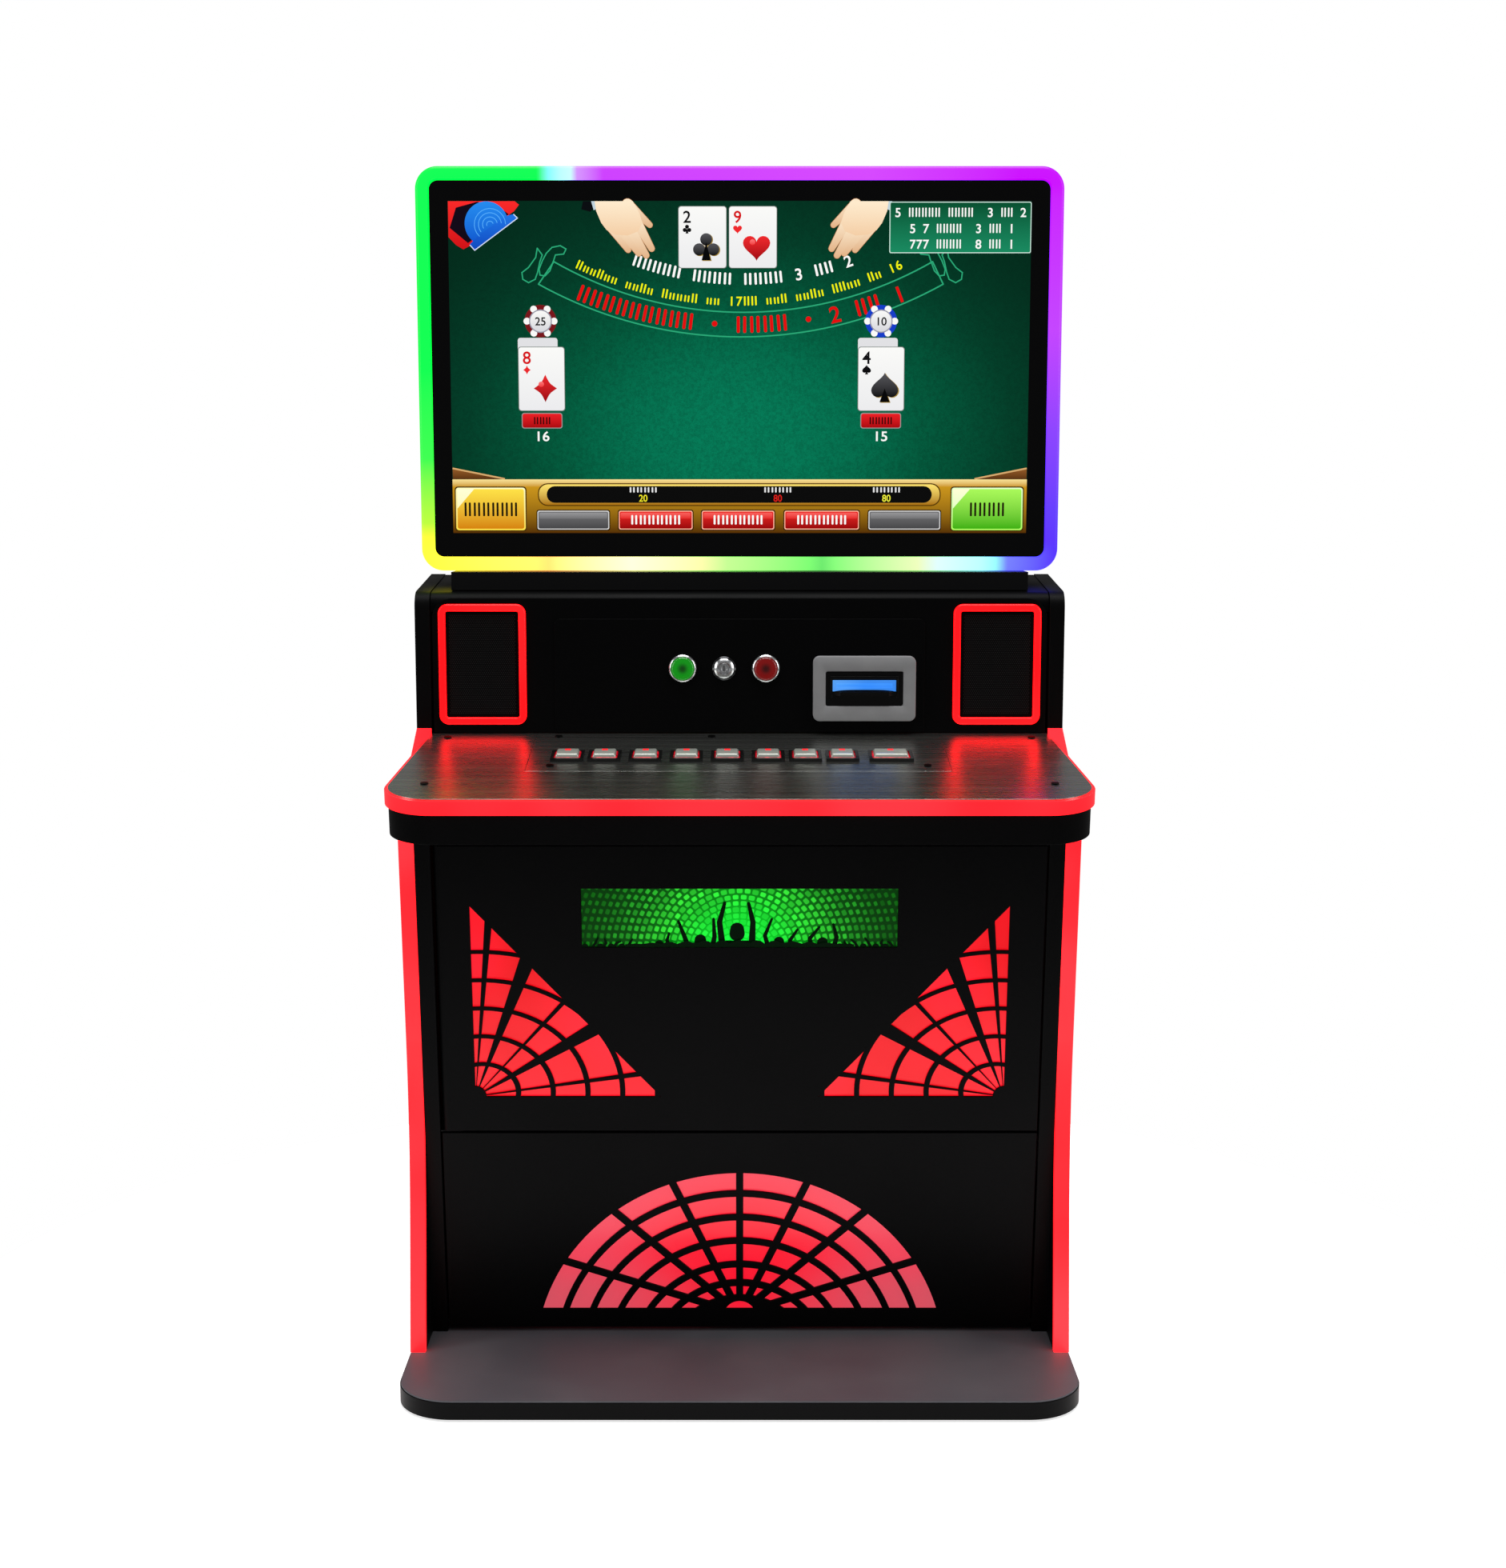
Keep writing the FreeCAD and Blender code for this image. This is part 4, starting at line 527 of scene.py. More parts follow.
CAP_TALL = 3.6 * MM
for index in range(1, 10):
    low, high = deck_box(f"deck_button_{index}")
    rise = high.z - CAP_TALL
    middle = (low + high) / 2
    for kind, finish, near, beyond, edges in (
            ("skirt", cap_glow, low, (high.x, high.y, rise), (1.2 * MM,)),
            ("cap", silver_cap, (low.x + 1.0 * MM, low.y + 1.0 * MM, rise - 1.0 * MM),
             (high.x - 1.0 * MM, high.y - 1.0 * MM, high.z), (1.6 * MM, 4, 1.6 * MM)),
            ("apron", collar_black, (low.x + 1.4 * MM, low.y - 0.25 * MM, low.z),
             (high.x - 1.4 * MM, low.y + 2 * MM, rise - 0.7 * MM), (0.5 * MM, 2)),
            ("lamp", cap_lamp, (middle.x - 3.6 * MM, middle.y + 3.5 * MM, high.z - 0.8 * MM),
             (middle.x + 3.6 * MM, middle.y + 10.5 * MM, high.z + 0.12 * MM), (0.4 * MM, 2))):
        mesh = block(near, beyond, *edges)
        mesh.transform(onto_deck)
        new_piece(f"key_{kind}_{index}", mesh, finish, f"deck_button_{index}")
    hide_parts(f"deck_button_{index}")


# Head: a folded steel box in black powder coat between the cheeks. The control plate is a cut steel
# sheet in the same coat, screwed to the middle of its face.
dress(powder, "control_plate")


# Speakers: each has a perforated steel grille inside a red lit ring, and a paper cone behind it.
def rounded_outline(x, z, wide, tall, radius, steps=8):
    """Points round an upright rectangle with round corners, from the lower right corner on."""
    points = []
    for index, (side, end) in enumerate(((1, -1), (1, 1), (-1, 1), (-1, -1))):
        centre = Vector((x + side * (wide / 2 - radius), z + end * (tall / 2 - radius)))
        for step in range(steps + 1):
            angle = math.radians(-90 + 90 * index + 90 * step / steps)
            points.append(centre + Vector((math.cos(angle), math.sin(angle))) * radius)
    return points


def band(shape, near, beyond, smooth=True):
    """Faces between two rings of corners; a ring of one corner is a point."""
    count = max(len(near), len(beyond))
    for index in range(count):
        following = (index + 1) % count
        corners = list(dict.fromkeys([near[index % len(near)], near[following % len(near)],
                                      beyond[following % len(beyond)], beyond[index % len(beyond)]]))
        if len(corners) > 2:
            shape.faces.new(corners).smooth = smooth


def frame_ring(name, x, z, wide, tall, radius, profile, steps=8):
    """A picture-frame ring: profile lists (inset, y) from the outer back edge round to the inner."""
    shape = bmesh.new()
    loops = []
    for inset, y in profile:
        corner = max(radius - inset, 0.4 * MM)
        outline = rounded_outline(x, z, wide - 2 * inset, tall - 2 * inset, corner, steps)
        loops.append([shape.verts.new((point.x, y, point.y)) for point in outline])
    for near, beyond in zip(loops, loops[1:]):
        band(shape, near, beyond)
    band(shape, loops[-1], loops[0], False)
    bmesh.ops.recalc_face_normals(shape, faces=shape.faces[:])
    return mesh_of(shape, name, 35)


def rolled(width, back, front, roll, steps=5):
    """A ring's section with both front edges rolled over."""
    points = [(0.0, back)]
    for step in range(steps + 1):
        angle = math.pi / 2 * step / steps
        points.append((roll - roll * math.cos(angle), front + roll - roll * math.sin(angle)))
    for step in range(steps + 1):
        angle = math.pi / 2 * step / steps
        points.append((width - roll + roll * math.sin(angle), front + roll - roll * math.cos(angle)))
    points.append((width, back))
    return points


ring_red = acrylic("ring_red", (0.7, 0.001, 0.002), (1.0, 0.003, 0.004), 4.2)
ring_low, ring_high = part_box("speaker_lights")
grille_low, grille_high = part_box("speaker_grilles")
RING_WIDE = 106.5 * MM
GRILLE_WIDE = 88.9 * MM
ring_mid = (ring_low[2] + ring_high[2]) / 2
ring_tall = ring_high[2] - ring_low[2]
for side, name in ((-1, "left"), (1, "right")):
    x = side * (ring_high[0] - RING_WIDE / 2)
    section = rolled(8.7 * MM, ring_high[1], ring_low[1], 2.4 * MM)
    ring_mesh = frame_ring("ring", x, ring_mid, RING_WIDE, ring_tall, 11.5 * MM, section)
    piece = new_piece(f"speaker_ring_{name}", ring_mesh, ring_red, "cabinet")
    if side > 0:
        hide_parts("speaker_lights")


class Growth:
    """A Geometry Nodes tree: named sizes go in, and a plain mesh comes out."""

    def __init__(self, name, **sizes):
        self.tree = bpy.data.node_groups.new(name, "GeometryNodeTree")
        self.name = name
        self.settings = {}
        face = self.tree.interface
        face.new_socket("Geometry", in_out="INPUT", socket_type="NodeSocketGeometry")
        for label, value in sizes.items():
            kind = "NodeSocketInt" if isinstance(value, int) else "NodeSocketFloat"
            self.settings[face.new_socket(label, in_out="INPUT", socket_type=kind).identifier] = value
        face.new_socket("Geometry", in_out="OUTPUT", socket_type="NodeSocketGeometry")
        self.given = self.tree.nodes.new("NodeGroupInput").outputs

    def add(self, kind, inputs, **choices):
        made = self.tree.nodes.new(kind)
        for key, choice in choices.items():
            setattr(made, key, choice)
        for key, value in inputs.items():
            for each in value if isinstance(value, list) else [value]:
                if hasattr(each, "is_output"):
                    self.tree.links.new(each, made.inputs[key])
                else:
                    made.inputs[key].default_value = each
        return made.outputs[0]

    def sum(self, operation, first, second=0.0):
        return self.add("ShaderNodeMath", {0: first, 1: second}, operation=operation)

    def painted(self, geometry, finish):
        return self.add("GeometryNodeSetMaterial", {"Geometry": geometry, "Material": finish.material})

    def grow(self, geometry, seed_mesh=None):
        real = self.add("GeometryNodeRealizeInstances", {"Geometry": geometry})
        result = self.tree.nodes.new("NodeGroupOutput")
        self.tree.links.new(real, result.inputs[0])
        holder = bpy.data.objects.new(self.name, seed_mesh or bpy.data.meshes.new(self.name))
        scene.collection.objects.link(holder)
        modifier = holder.modifiers.new("growth", "NODES")
        modifier.node_group = self.tree
        for identifier, value in self.settings.items():
            modifier[identifier] = value
        bpy.context.view_layer.update()
        evaluated = holder.evaluated_get(bpy.context.evaluated_depsgraph_get())
        mesh = bpy.data.meshes.new_from_object(evaluated)
        holder.modifiers.clear()
        bpy.data.objects.remove(holder)
        return mesh


def hole_shade_grid(name, finish, **sizes):
    """Staggered rows of small dark discs, painted shade standing in for punched holes."""
    growth = Growth(name, **sizes)
    given = growth.given
    columns, rows = given["columns"], given["rows"]
    wide = growth.sum("MULTIPLY", growth.sum("SUBTRACT", columns, 1.0), given["pitch"])
    row_pitch = growth.sum("MULTIPLY", given["pitch"], math.sqrt(3) / 2)
    tall = growth.sum("MULTIPLY", growth.sum("SUBTRACT", rows, 1.0), row_pitch)
    grid = growth.add("GeometryNodeMeshGrid",
                      {"Size X": wide, "Size Y": tall, "Vertices X": columns, "Vertices Y": rows})
    order = growth.add("GeometryNodeInputIndex", {})
    odd = growth.sum("MODULO", growth.sum("MODULO", order, rows), 2.0)
    half_step = growth.sum("SUBTRACT", growth.sum("MULTIPLY", odd, 0.5), 0.25)
    aside = growth.sum("MULTIPLY", half_step, given["pitch"])
    offset = growth.add("ShaderNodeCombineXYZ", {0: aside})
    moved = growth.add("GeometryNodeSetPosition", {"Geometry": grid, "Offset": offset})
    stamp = growth.add("GeometryNodeMeshCircle", {"Vertices": given["sides"], "Radius": given["radius"]},
                       fill_type="NGON")
    shade_discs = growth.add("GeometryNodeInstanceOnPoints", {"Points": moved, "Instance": stamp})
    return growth.grow(growth.painted(shade_discs, finish))


grille_paint = Finish("grille_paint", (0.0014, 0.0014, 0.0016), 0.5, Specular_IOR_Level=0.05)
grille_paint.grain(900, 2, 0.0002, 0.3)
dress(grille_paint, "speaker_grilles")
# The grille's holes are small dark discs laid on its face: painted shade where the real sheet is punched
# through.
hole_shade_paint = Finish("painted_hole_shade", (0.0008, 0.0008, 0.0008), 0.9)
hole_shade_paint.sheen(100, 1, 0.1, 0.85)
upright = Matrix.Rotation(math.radians(90), 4, "X")
HOLE_PITCH = 2.6 * MM
columns = int((GRILLE_WIDE - 6 * MM) / HOLE_PITCH)
rows = int((grille_high[2] - grille_low[2] - 6 * MM) / (HOLE_PITCH * math.sqrt(3) / 2))
for side, name in ((-1, "left"), (1, "right")):
    x = side * (grille_high[0] - GRILLE_WIDE / 2)
    shade_discs = hole_shade_grid(f"grille_{name}", hole_shade_paint, columns=columns, rows=rows, pitch=HOLE_PITCH,
                         radius=0.85 * MM, sides=6)
    shade_discs.transform(Matrix.Translation((x, grille_low[1] - 0.03 * MM, ring_mid)) @ upright)
    piece = new_piece(f"grille_hole_shade_{name}", shade_discs, None, "cabinet")
cone_paper = Finish("cone_paper", (0.012, 0.012, 0.012), 0.8)
cone_paper.grain(500, 3, 0.0004, 0.4)
dress(cone_paper, "speaker_drivers")


# Control plate hardware: two lit push buttons with a key lock between them. Each button is a moulded
# plastic lens in a turned and chromed bezel, which is clamped through a hole in the plate.
def turned(name, profile, place, steps=48, back=False):
    """A piece turned on a lathe, with its axis along Y; profile lists (radius, y)."""
    shape = bmesh.new()
    rings = []
    for radius, y in profile:
        if radius < 1e-7:
            rings.append([shape.verts.new((0, y, 0))])
            continue
        angles = [2 * math.pi * step / steps for step in range(steps)]
        rings.append([shape.verts.new((radius * math.cos(a), y, radius * math.sin(a))) for a in angles])
    for near, beyond in zip(rings, rings[1:]):
        band(shape, near, beyond)
    if back:
        band(shape, rings[-1], rings[0], False)
    bmesh.ops.recalc_face_normals(shape, faces=shape.faces[:])
    mesh = mesh_of(shape, name, 35)
    mesh.transform(Matrix.Translation(place))
    return mesh


def section_from(base, *points):
    """Part of a lathe profile: radius and depth in millimetres, the depth taken from a base."""
    return [(radius * MM, base + depth * MM) for radius, depth in points]


chrome = Finish("chrome_trim", srgb(226, 227, 229), 0.2, Metallic=1.0)
chrome.sheen(260, 3, 0.16, 0.14)
PLATE_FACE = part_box("control_plate")[0][1]
bezel_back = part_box("push_button_bodies")[1][1]
bezel_section = (section_from(PLATE_FACE, (17.15, 0), (17.15, -3.0), (16.9, -3.7), (14.8, -5.3), (14.4, -5.4),
                              (14.1, -5.1), (14.0, -4.0), (14.0, -0.5), (5.2, -0.5))
                 + section_from(bezel_back, (5.2, -6), (9, -6), (9, 0), (11.8, 0))
                 + section_from(PLATE_FACE, (11.8, 0)))
lens_colours = {"green": (srgb(2, 58, 4), srgb(6, 146, 16)), "red": (srgb(42, 1, 1), srgb(120, 2, 2))}
control_bezels = []
for name, (dark, bright) in lens_colours.items():
    low, high = (Vector(corner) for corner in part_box(f"{name}_button"))
    centre = (low + high) / 2
    control_bezels.append(turned(f"{name}_bezel", bezel_section, (centre.x, 0, centre.z), back=True))
    lens = Finish(f"{name}_lens", tuple(0.08 * c for c in bright), 0.2, Coat_Weight=0.2, Coat_Roughness=0.05)
    lens.glow(bright, 1.0)
    lens_x, _, lens_z = lens.parts(lens.place(shift=(-centre.x, 0, -centre.z)))
    radius = (lens_x ** 2 + lens_z ** 2) ** 0.5
    rays = lens.node("Math", {"operation": "ARCTAN2"}, {0: lens_z, 1: lens_x})
    ray = lens.node("Math", {"operation": "SINE"}, {0: rays * 24.0})
    tone = radius.smooth(0.001, 0.009) * 0.85 + ray * 0.06
    lens.drive("Emission Color", lens.blend(tone, dark, bright))
    lens.bump(ray * radius * 40.0, 0.0004, 0.4)
    profile = (section_from(low.y, (0, 0), (4, 0.15), (8, 0.6), (11, 1.2), (13, 2.0), (13.8, 3.0),
                            (13.8, 4.5), (5, 4.5))
               + section_from(high.y, (5, 0), (0, 0)))
    cap = new_piece(f"{name}_lens", turned("lens", profile, (centre.x, 0, centre.z)), lens, f"{name}_button")
    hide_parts(f"{name}_button")
pair = new_piece("chrome_bezels", merged("chrome_bezels", control_bezels), chrome, "cabinet")
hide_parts("push_button_bodies")

# The lock: a turned metal barrel, chromed, with a coned nose in a notched chrome flange that is darkened in
# its colour, a painted dark reflection. It is clamped through the plate, and a plug with a keyway turns in
# it.
lock_low, lock_high = (Vector(corner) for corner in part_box("key_lock_body"))
lock_at = (lock_low + lock_high) / 2
nose_section = (section_from(PLATE_FACE, (12.4, -1.4), (12.2, -2.4), (11.2, -3.2))
                + section_from(lock_low.y, (8.4, 0.1), (8.0, 0), (7.4, 0.3), (7.15, 1.0))
                + section_from(lock_high.y, (7.15, -2), (9.4, -2))
                + section_from(PLATE_FACE, (9.4, 0)))
nose_mesh = turned("lock_nose", nose_section, (lock_at.x, 0, lock_at.z), back=True)
nose = new_piece("lock_nose", nose_mesh, chrome, "cabinet")
# The flange's chrome is darkened in its colour: painted reflection of the dark room round it.
painted_dark_reflection_chrome = Finish("painted_dark_reflection_chrome", srgb(70, 70, 72), 0.2, Metallic=1.0)
painted_dark_reflection_chrome.sheen(300, 2, 0.15, 0.12)
flange_section = section_from(PLATE_FACE, (14.4, 0), (14.4, -1.0), (13.6, -1.7), (12.3, -1.7), (12.3, 0))
flange_mesh = turned("lock_flange", flange_section, (lock_at.x, 0, lock_at.z), back=True)
flange = new_piece("lock_flange", flange_mesh, painted_dark_reflection_chrome, "cabinet")
tabs = []
for side in (-1, 1):
    middle = lock_at + Vector((side * 12.6 * MM, 0, -0.6 * MM))
    tabs.append(block((middle.x - 1.7 * MM, PLATE_FACE - 2.7 * MM, middle.z - 1.6 * MM),
                      (middle.x + 1.7 * MM, PLATE_FACE - 1.2 * MM, middle.z + 1.6 * MM), 0.6 * MM, 2))
new_piece("lock_tabs", merged("lock_tabs", tabs), chrome, "cabinet")
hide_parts("key_lock_body")
plug_low, plug_high = (Vector(corner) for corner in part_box("key_plug"))
plug_section = (section_from(plug_low.y, (0, 1.3), (3.4, 1.1), (3.7, 0.6), (5.0, 0.5), (5.2, 0.9), (5.6, 0.9),
                             (5.9, 0.2), (6.5, 0.1), (6.9, 0.5))
                + section_from(plug_high.y, (6.9, -6), (0, -6)))
plug_mesh = turned("lock_plug", plug_section, (lock_at.x, 0, lock_at.z))
plug = new_piece("lock_plug", plug_mesh, chrome, "key_plug")
# The keyway is a black bar standing on the plug's face: painted shade where the real plug is slotted.
keyway_shade_bar = block((lock_at.x - 0.6 * MM, plug_low.y + 0.5 * MM, lock_at.z - 3.2 * MM),
               (lock_at.x + 0.6 * MM, plug_low.y + 2 * MM, lock_at.z + 3.2 * MM), 0.2 * MM, 1)
new_piece("keyway_shade_bar", keyway_shade_bar, collar_black, "key_plug")
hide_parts("key_plug")


# Bill acceptor: a grey moulded plastic bezel with rolled edges, fixed from behind over an opening.
# Its black mouth is moulded plastic too, and leads to a slot lit blue from inside.
bezel_grey = Finish("bezel_grey", srgb(156, 156, 158), 0.42, Specular_IOR_Level=0.45)
bezel_grey.grain(800, 3, 0.0002, 0.4)
bezel_grey.drive("Base Color", bezel_grey.blend(bezel_grey.noise(60, 3), srgb(150, 150, 152),
                                                srgb(164, 164, 166)))
bill_low, bill_high = (Vector(corner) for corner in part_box("bill_bezel"))
mouth_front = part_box("bill_mouth")[0][1]
bill_mid = (bill_low + bill_high) / 2
bill_wide, bill_tall = bill_high.x - bill_low.x, bill_high.z - bill_low.z
MOUTH_WIDE, MOUTH_TALL = 94.5 * MM, 42.6 * MM
OUTER_ROLL = 1.6 * MM
bill_frame = bmesh.new()
bill_outlines = [(y, rounded_outline(bill_mid.x, bill_mid.z, bill_wide - 2 * inset, bill_tall - 2 * inset,
                                     8 * MM - inset * 0.5))
                 for inset, y in ((0.0, bill_high.y), (0.0, bill_low.y + OUTER_ROLL),
                                  (OUTER_ROLL * 0.3, bill_low.y + OUTER_ROLL * 0.3),
                                  (OUTER_ROLL, bill_low.y))]
bill_outlines += [(y, rounded_outline(bill_mid.x, bill_mid.z, 2 * (MOUTH_WIDE / 2 + grow),
                                      2 * (MOUTH_TALL / 2 + grow), 2.5 * MM))
                  for grow, y in ((1.0 * MM, bill_low.y), (0.3 * MM, bill_low.y + 0.3 * MM),
                                  (0.0, bill_low.y + 1.0 * MM), (0.0, bill_high.y))]
loops = [[bill_frame.verts.new((point.x, y, point.y)) for point in outline] for y, outline in bill_outlines]
for near, beyond in zip(loops, loops[1:] + loops[:1]):
    band(bill_frame, near, beyond)
bmesh.ops.recalc_face_normals(bill_frame, faces=bill_frame.faces[:])
bill_mesh = mesh_of(bill_frame, "bill_frame", 30)
bill_piece = new_piece("bill_frame", bill_mesh, bezel_grey, "cabinet")
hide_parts("bill_bezel")
mouth_black = Finish("mouth_black", (0.0012, 0.0012, 0.0014), 0.3, Specular_IOR_Level=0.25)
mouth_black.grain(700, 2, 0.0002, 0.2)
dress(mouth_black, "bill_mouth")
blue_lamp = acrylic("blue_lamp", srgb(52, 130, 228), srgb(96, 166, 240), 1.0, scale=18.0)
dress(blue_lamp, "bill_slot_light")

# The throat narrows from the lit ring to the note's own thickness, and its walls are given the lamp's glow
# all the way in: painted light where the slot's lamp lights them.
slot_low, slot_high = (Vector(corner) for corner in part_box("bill_slot_light"))
slot_mid = (slot_low + slot_high) / 2
throat = bmesh.new()
throat_loops = []
for inset, drop, y in ((4.5 * MM, 3.75 * MM, slot_low.y + 0.2 * MM),
                       (4.6 * MM, 6.6 * MM, slot_high.y + 7 * MM),
                       (4.6 * MM, 6.6 * MM, slot_high.y + 12 * MM)):
    half_width = (slot_high.x - slot_low.x) / 2 - inset
    half_height = (slot_high.z - slot_low.z) / 2 - drop
    throat_loops.append([throat.verts.new((slot_mid.x + a * half_width, y, slot_mid.z + b * half_height))
                         for a, b in ((-1, -1), (1, -1), (1, 1), (-1, 1))])
for near, beyond in zip(throat_loops, throat_loops[1:]):
    for index in range(4):
        following = (index + 1) % 4
        throat.faces.new((near[index], beyond[index], beyond[following], near[following]))
throat_glow_mesh = mesh_of(throat, "bill_throat_painted_glow")
new_piece("bill_throat_painted_glow", throat_glow_mesh, blue_lamp, "cabinet")

# The arch over the slot and the two cheeks of the scooped lip are thin ribs of the same moulding.
arch_front = mouth_front + 6 * MM
arch_back = slot_low.y - 0.1 * MM
arch = [block((slot_low.x - 3 * MM, arch_front, slot_high.z + 1.2 * MM),
              (slot_high.x + 3 * MM, arch_back, slot_high.z + 5.2 * MM), 0.7 * MM)]
for side in (-1, 1):
    edge = slot_low.x - 3 * MM if side < 0 else slot_high.x + 0.6 * MM
    arch.append(block((edge, arch_front, slot_low.z - 8 * MM),
                      (edge + 2.4 * MM, arch_back, slot_high.z + 2 * MM), 0.7 * MM))
lip = bmesh.new()
lip_rows = []
LIP_STEPS = 16
for y in (slot_low.y - 1.6 * MM, arch_back):
    shares = [2 * step / LIP_STEPS - 1 for step in range(LIP_STEPS + 1)]
    crest = [(slot_mid.x + 39 * MM * share, slot_low.z - 0.4 * MM + 2.2 * MM * (1 - share ** 4))
             for share in shares]
    foot = [(x, slot_low.z - 6 * MM) for x, z in reversed(crest)]
    lip_rows.append([lip.verts.new((x, y, z)) for x, z in crest + foot])
lip.faces.new(lip_rows[0])
lip.faces.new(lip_rows[1][::-1])
for index in range(len(lip_rows[0])):
    following = (index + 1) % len(lip_rows[0])
    lip.faces.new((lip_rows[0][following], lip_rows[0][index], lip_rows[1][index], lip_rows[1][following]))
bmesh.ops.recalc_face_normals(lip, faces=lip.faces[:])
arch.append(mesh_of(lip, "bill_lip"))
arch_piece = new_piece("bill_arch", merged("bill_arch", arch), mouth_black, "cabinet")


# Monitor: a black plinth, a lit frame whose colour drifts round the picture, a black-edged glass and
# the game's picture on it.
plinth_black = Finish("plinth_black", (0.003, 0.003, 0.0034), 0.45, Specular_IOR_Level=0.15)
plinth_black.grain(600, 3, 0.0002, 0.3, soft_edge=1.2 * MM)
dress(plinth_black, "plinth")

halo_low, halo_high = (Vector(corner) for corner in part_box("monitor_halo"))
halo_mid = (halo_low + halo_high) / 2
halo = Finish("halo_acrylic", (0.008, 0.008, 0.008), 0.3, Coat_Weight=0.08, Coat_Roughness=0.12,
              Specular_IOR_Level=0.2)
HALO_POWER = 2.2
halo.glow((1, 1, 1), HALO_POWER)


def halo_run(along, *stops):
    """Colours along a side; full channels are driven past white, so that they light what is near."""
    tones = [tuple(c if c > 0.9 else c / HALO_POWER for c in srgb(*colour)) for _, colour in stops]
    return halo.ramp(along, [(place, tone) for (place, _), tone in zip(stops, tones)])


halo_x, _, halo_z = halo.parts(halo.place(shift=(-halo_mid.x, 0, -halo_mid.z)))
half_x, half_z = (halo_high.x - halo_low.x) / 2, (halo_high.z - halo_low.z) / 2
run_x = halo_x / (2 * half_x) + 0.5
run_z = halo_z / (2 * half_z) + 0.5
GREEN, YELLOW, CYAN = (0, 255, 84), (255, 255, 60), (190, 250, 250)
VIOLET, MAGENTA, INDIGO = (206, 62, 255), (205, 0, 255), (84, 40, 250)
top_run = halo_run(run_x, (0.0, GREEN), (0.19, GREEN), (0.225, CYAN), (0.25, (214, 150, 255)), (0.29, VIOLET),
                   (0.7, (214, 70, 255)), (0.93, MAGENTA), (1.0, MAGENTA))
bottom_run = halo_run(run_x, (0.0, YELLOW), (0.2, (255, 240, 120)), (0.33, (255, 255, 225)),
                      (0.48, (200, 250, 150)), (0.63, (110, 235, 110)), (0.78, (240, 250, 190)),
                      (0.88, (190, 245, 250)), (0.92, (120, 130, 255)), (1.0, INDIGO))
left_run = halo_run(run_z, (0.0, YELLOW), (0.12, (190, 250, 60)), (0.28, (60, 255, 80)),
                    (0.5, (0, 255, 80)), (1.0, GREEN))
right_run = halo_run(run_z, (0.0, INDIGO), (0.15, (100, 60, 252)), (0.35, (140, 66, 252)),
                     (0.6, (196, 66, 255)), (1.0, MAGENTA))
near_top = (half_z - halo_z).smooth(0.018, 0.04)
near_bottom = (halo_z + half_z).smooth(0.018, 0.04)
sides = halo.blend(run_x > 0.5, left_run, right_run)
rim = halo.blend(near_bottom, bottom_run, halo.blend(near_top, top_run, sides))
halo.drive("Emission Color", rim)
halo.grain(500, 1, 0.0001, 0.15)
halo_mesh = frame_ring("halo", halo_mid.x, halo_mid.z, 2 * half_x, 2 * half_z, 27 * MM,
                       rolled(17 * MM, halo_high.y, halo_low.y, 5 * MM), 12)
halo_piece = new_piece("halo_frame", halo_mesh, halo, "cabinet")
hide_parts("monitor_halo")

glass_low = Vector(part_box("touch_glass")[0])
black_glass = Finish("black_edged_glass", (0.0006, 0.0006, 0.0008), 0.08, Specular_IOR_Level=0.2)
black_glass.sheen(4, 3, 0.05, 0.05)
dress(black_glass, "touch_glass")
panel_metal = Finish("panel_metal", (0.25, 0.25, 0.26), 0.4, Metallic=1.0)
panel_metal.sheen(40, 3, 0.2, 0.3)
dress(panel_metal, "lcd_module", "computer_box", "power_supply")

# Picture: a card table seen from above, drawn as thin layers of lit colour. Everything is placed in
# millimetres from the middle of the picture's lower edge.
PICTURE_EDGE, PICTURE_TALL = 354, 400
picture_foot = Vector((0, glass_low.y, glass_low.z + (30 - 0.3) * MM - 0.5 * MM))
LAYER = 0.02 * MM

felt = Finish("felt", (0.0, 0.004, 0.002), 0.25, Specular_IOR_Level=0.1)
felt.glow(srgb(0, 110, 78), 1.0)
felt_x, _, felt_z = felt.parts(felt.place(shift=(0, 0, -picture_foot.z)))
spread = ((felt_x * 0.72) ** 2 + ((felt_z - 0.12) * 1.05) ** 2) ** 0.5
pool = 1 - spread.smooth(0.02, 0.37)
weave = felt.noise(1100, 1) * 0.5 + felt.noise(260, 3) * 0.5
fibre = felt.ramp(pool, [(0.0, srgb(0, 40, 24)), (0.3, srgb(0, 62, 40)), (0.65, srgb(0, 92, 62)),
                         (1.0, srgb(2, 124, 88))])
felt.drive("Emission Color", felt.blend(weave.smooth(0.36, 0.66) * 0.34, fibre, srgb(0, 34, 22)))

tinted = Finish("picture_tint", (0.0, 0.0, 0.0), 0.3, Specular_IOR_Level=0.1)
tinted.glow((1, 1, 1), 1.0)
tinted.drive("Emission Color", tinted.node("Attribute", {"attribute_name": "tint"}, {}, "Color"))
tinted.sheen(50, 1, 0.05, 0.27)

art = bmesh.new()
tint = art.loops.layers.float_color.new("tint")


def lay(points, level, colour, lower=None):
    """Lay one flat shape on the picture, in screen colours; lower is the colour at a shaded shape's foot."""
    heights = [point[1] for point in points]
    low, high = min(heights), max(heights)
    bright, deep = srgb(*colour), srgb(*(lower or colour))
    y = picture_foot.y - 0.1 * MM - level * LAYER
    corners = [art.verts.new((point[0] * MM, y, picture_foot.z + point[1] * MM)) for point in points]
    face = art.faces.new(corners)
    face.normal_update()
    if face.normal.y > 0:
        face.normal_flip()
    for loop in face.loops:
        share = ((loop.vert.co.z - picture_foot.z) / MM - low) / max(high - low, 1e-6)
        mixed = bright if lower is None else [b + (a - b) * share for a, b in zip(bright, deep)]
        loop[tint] = (*mixed, 1)


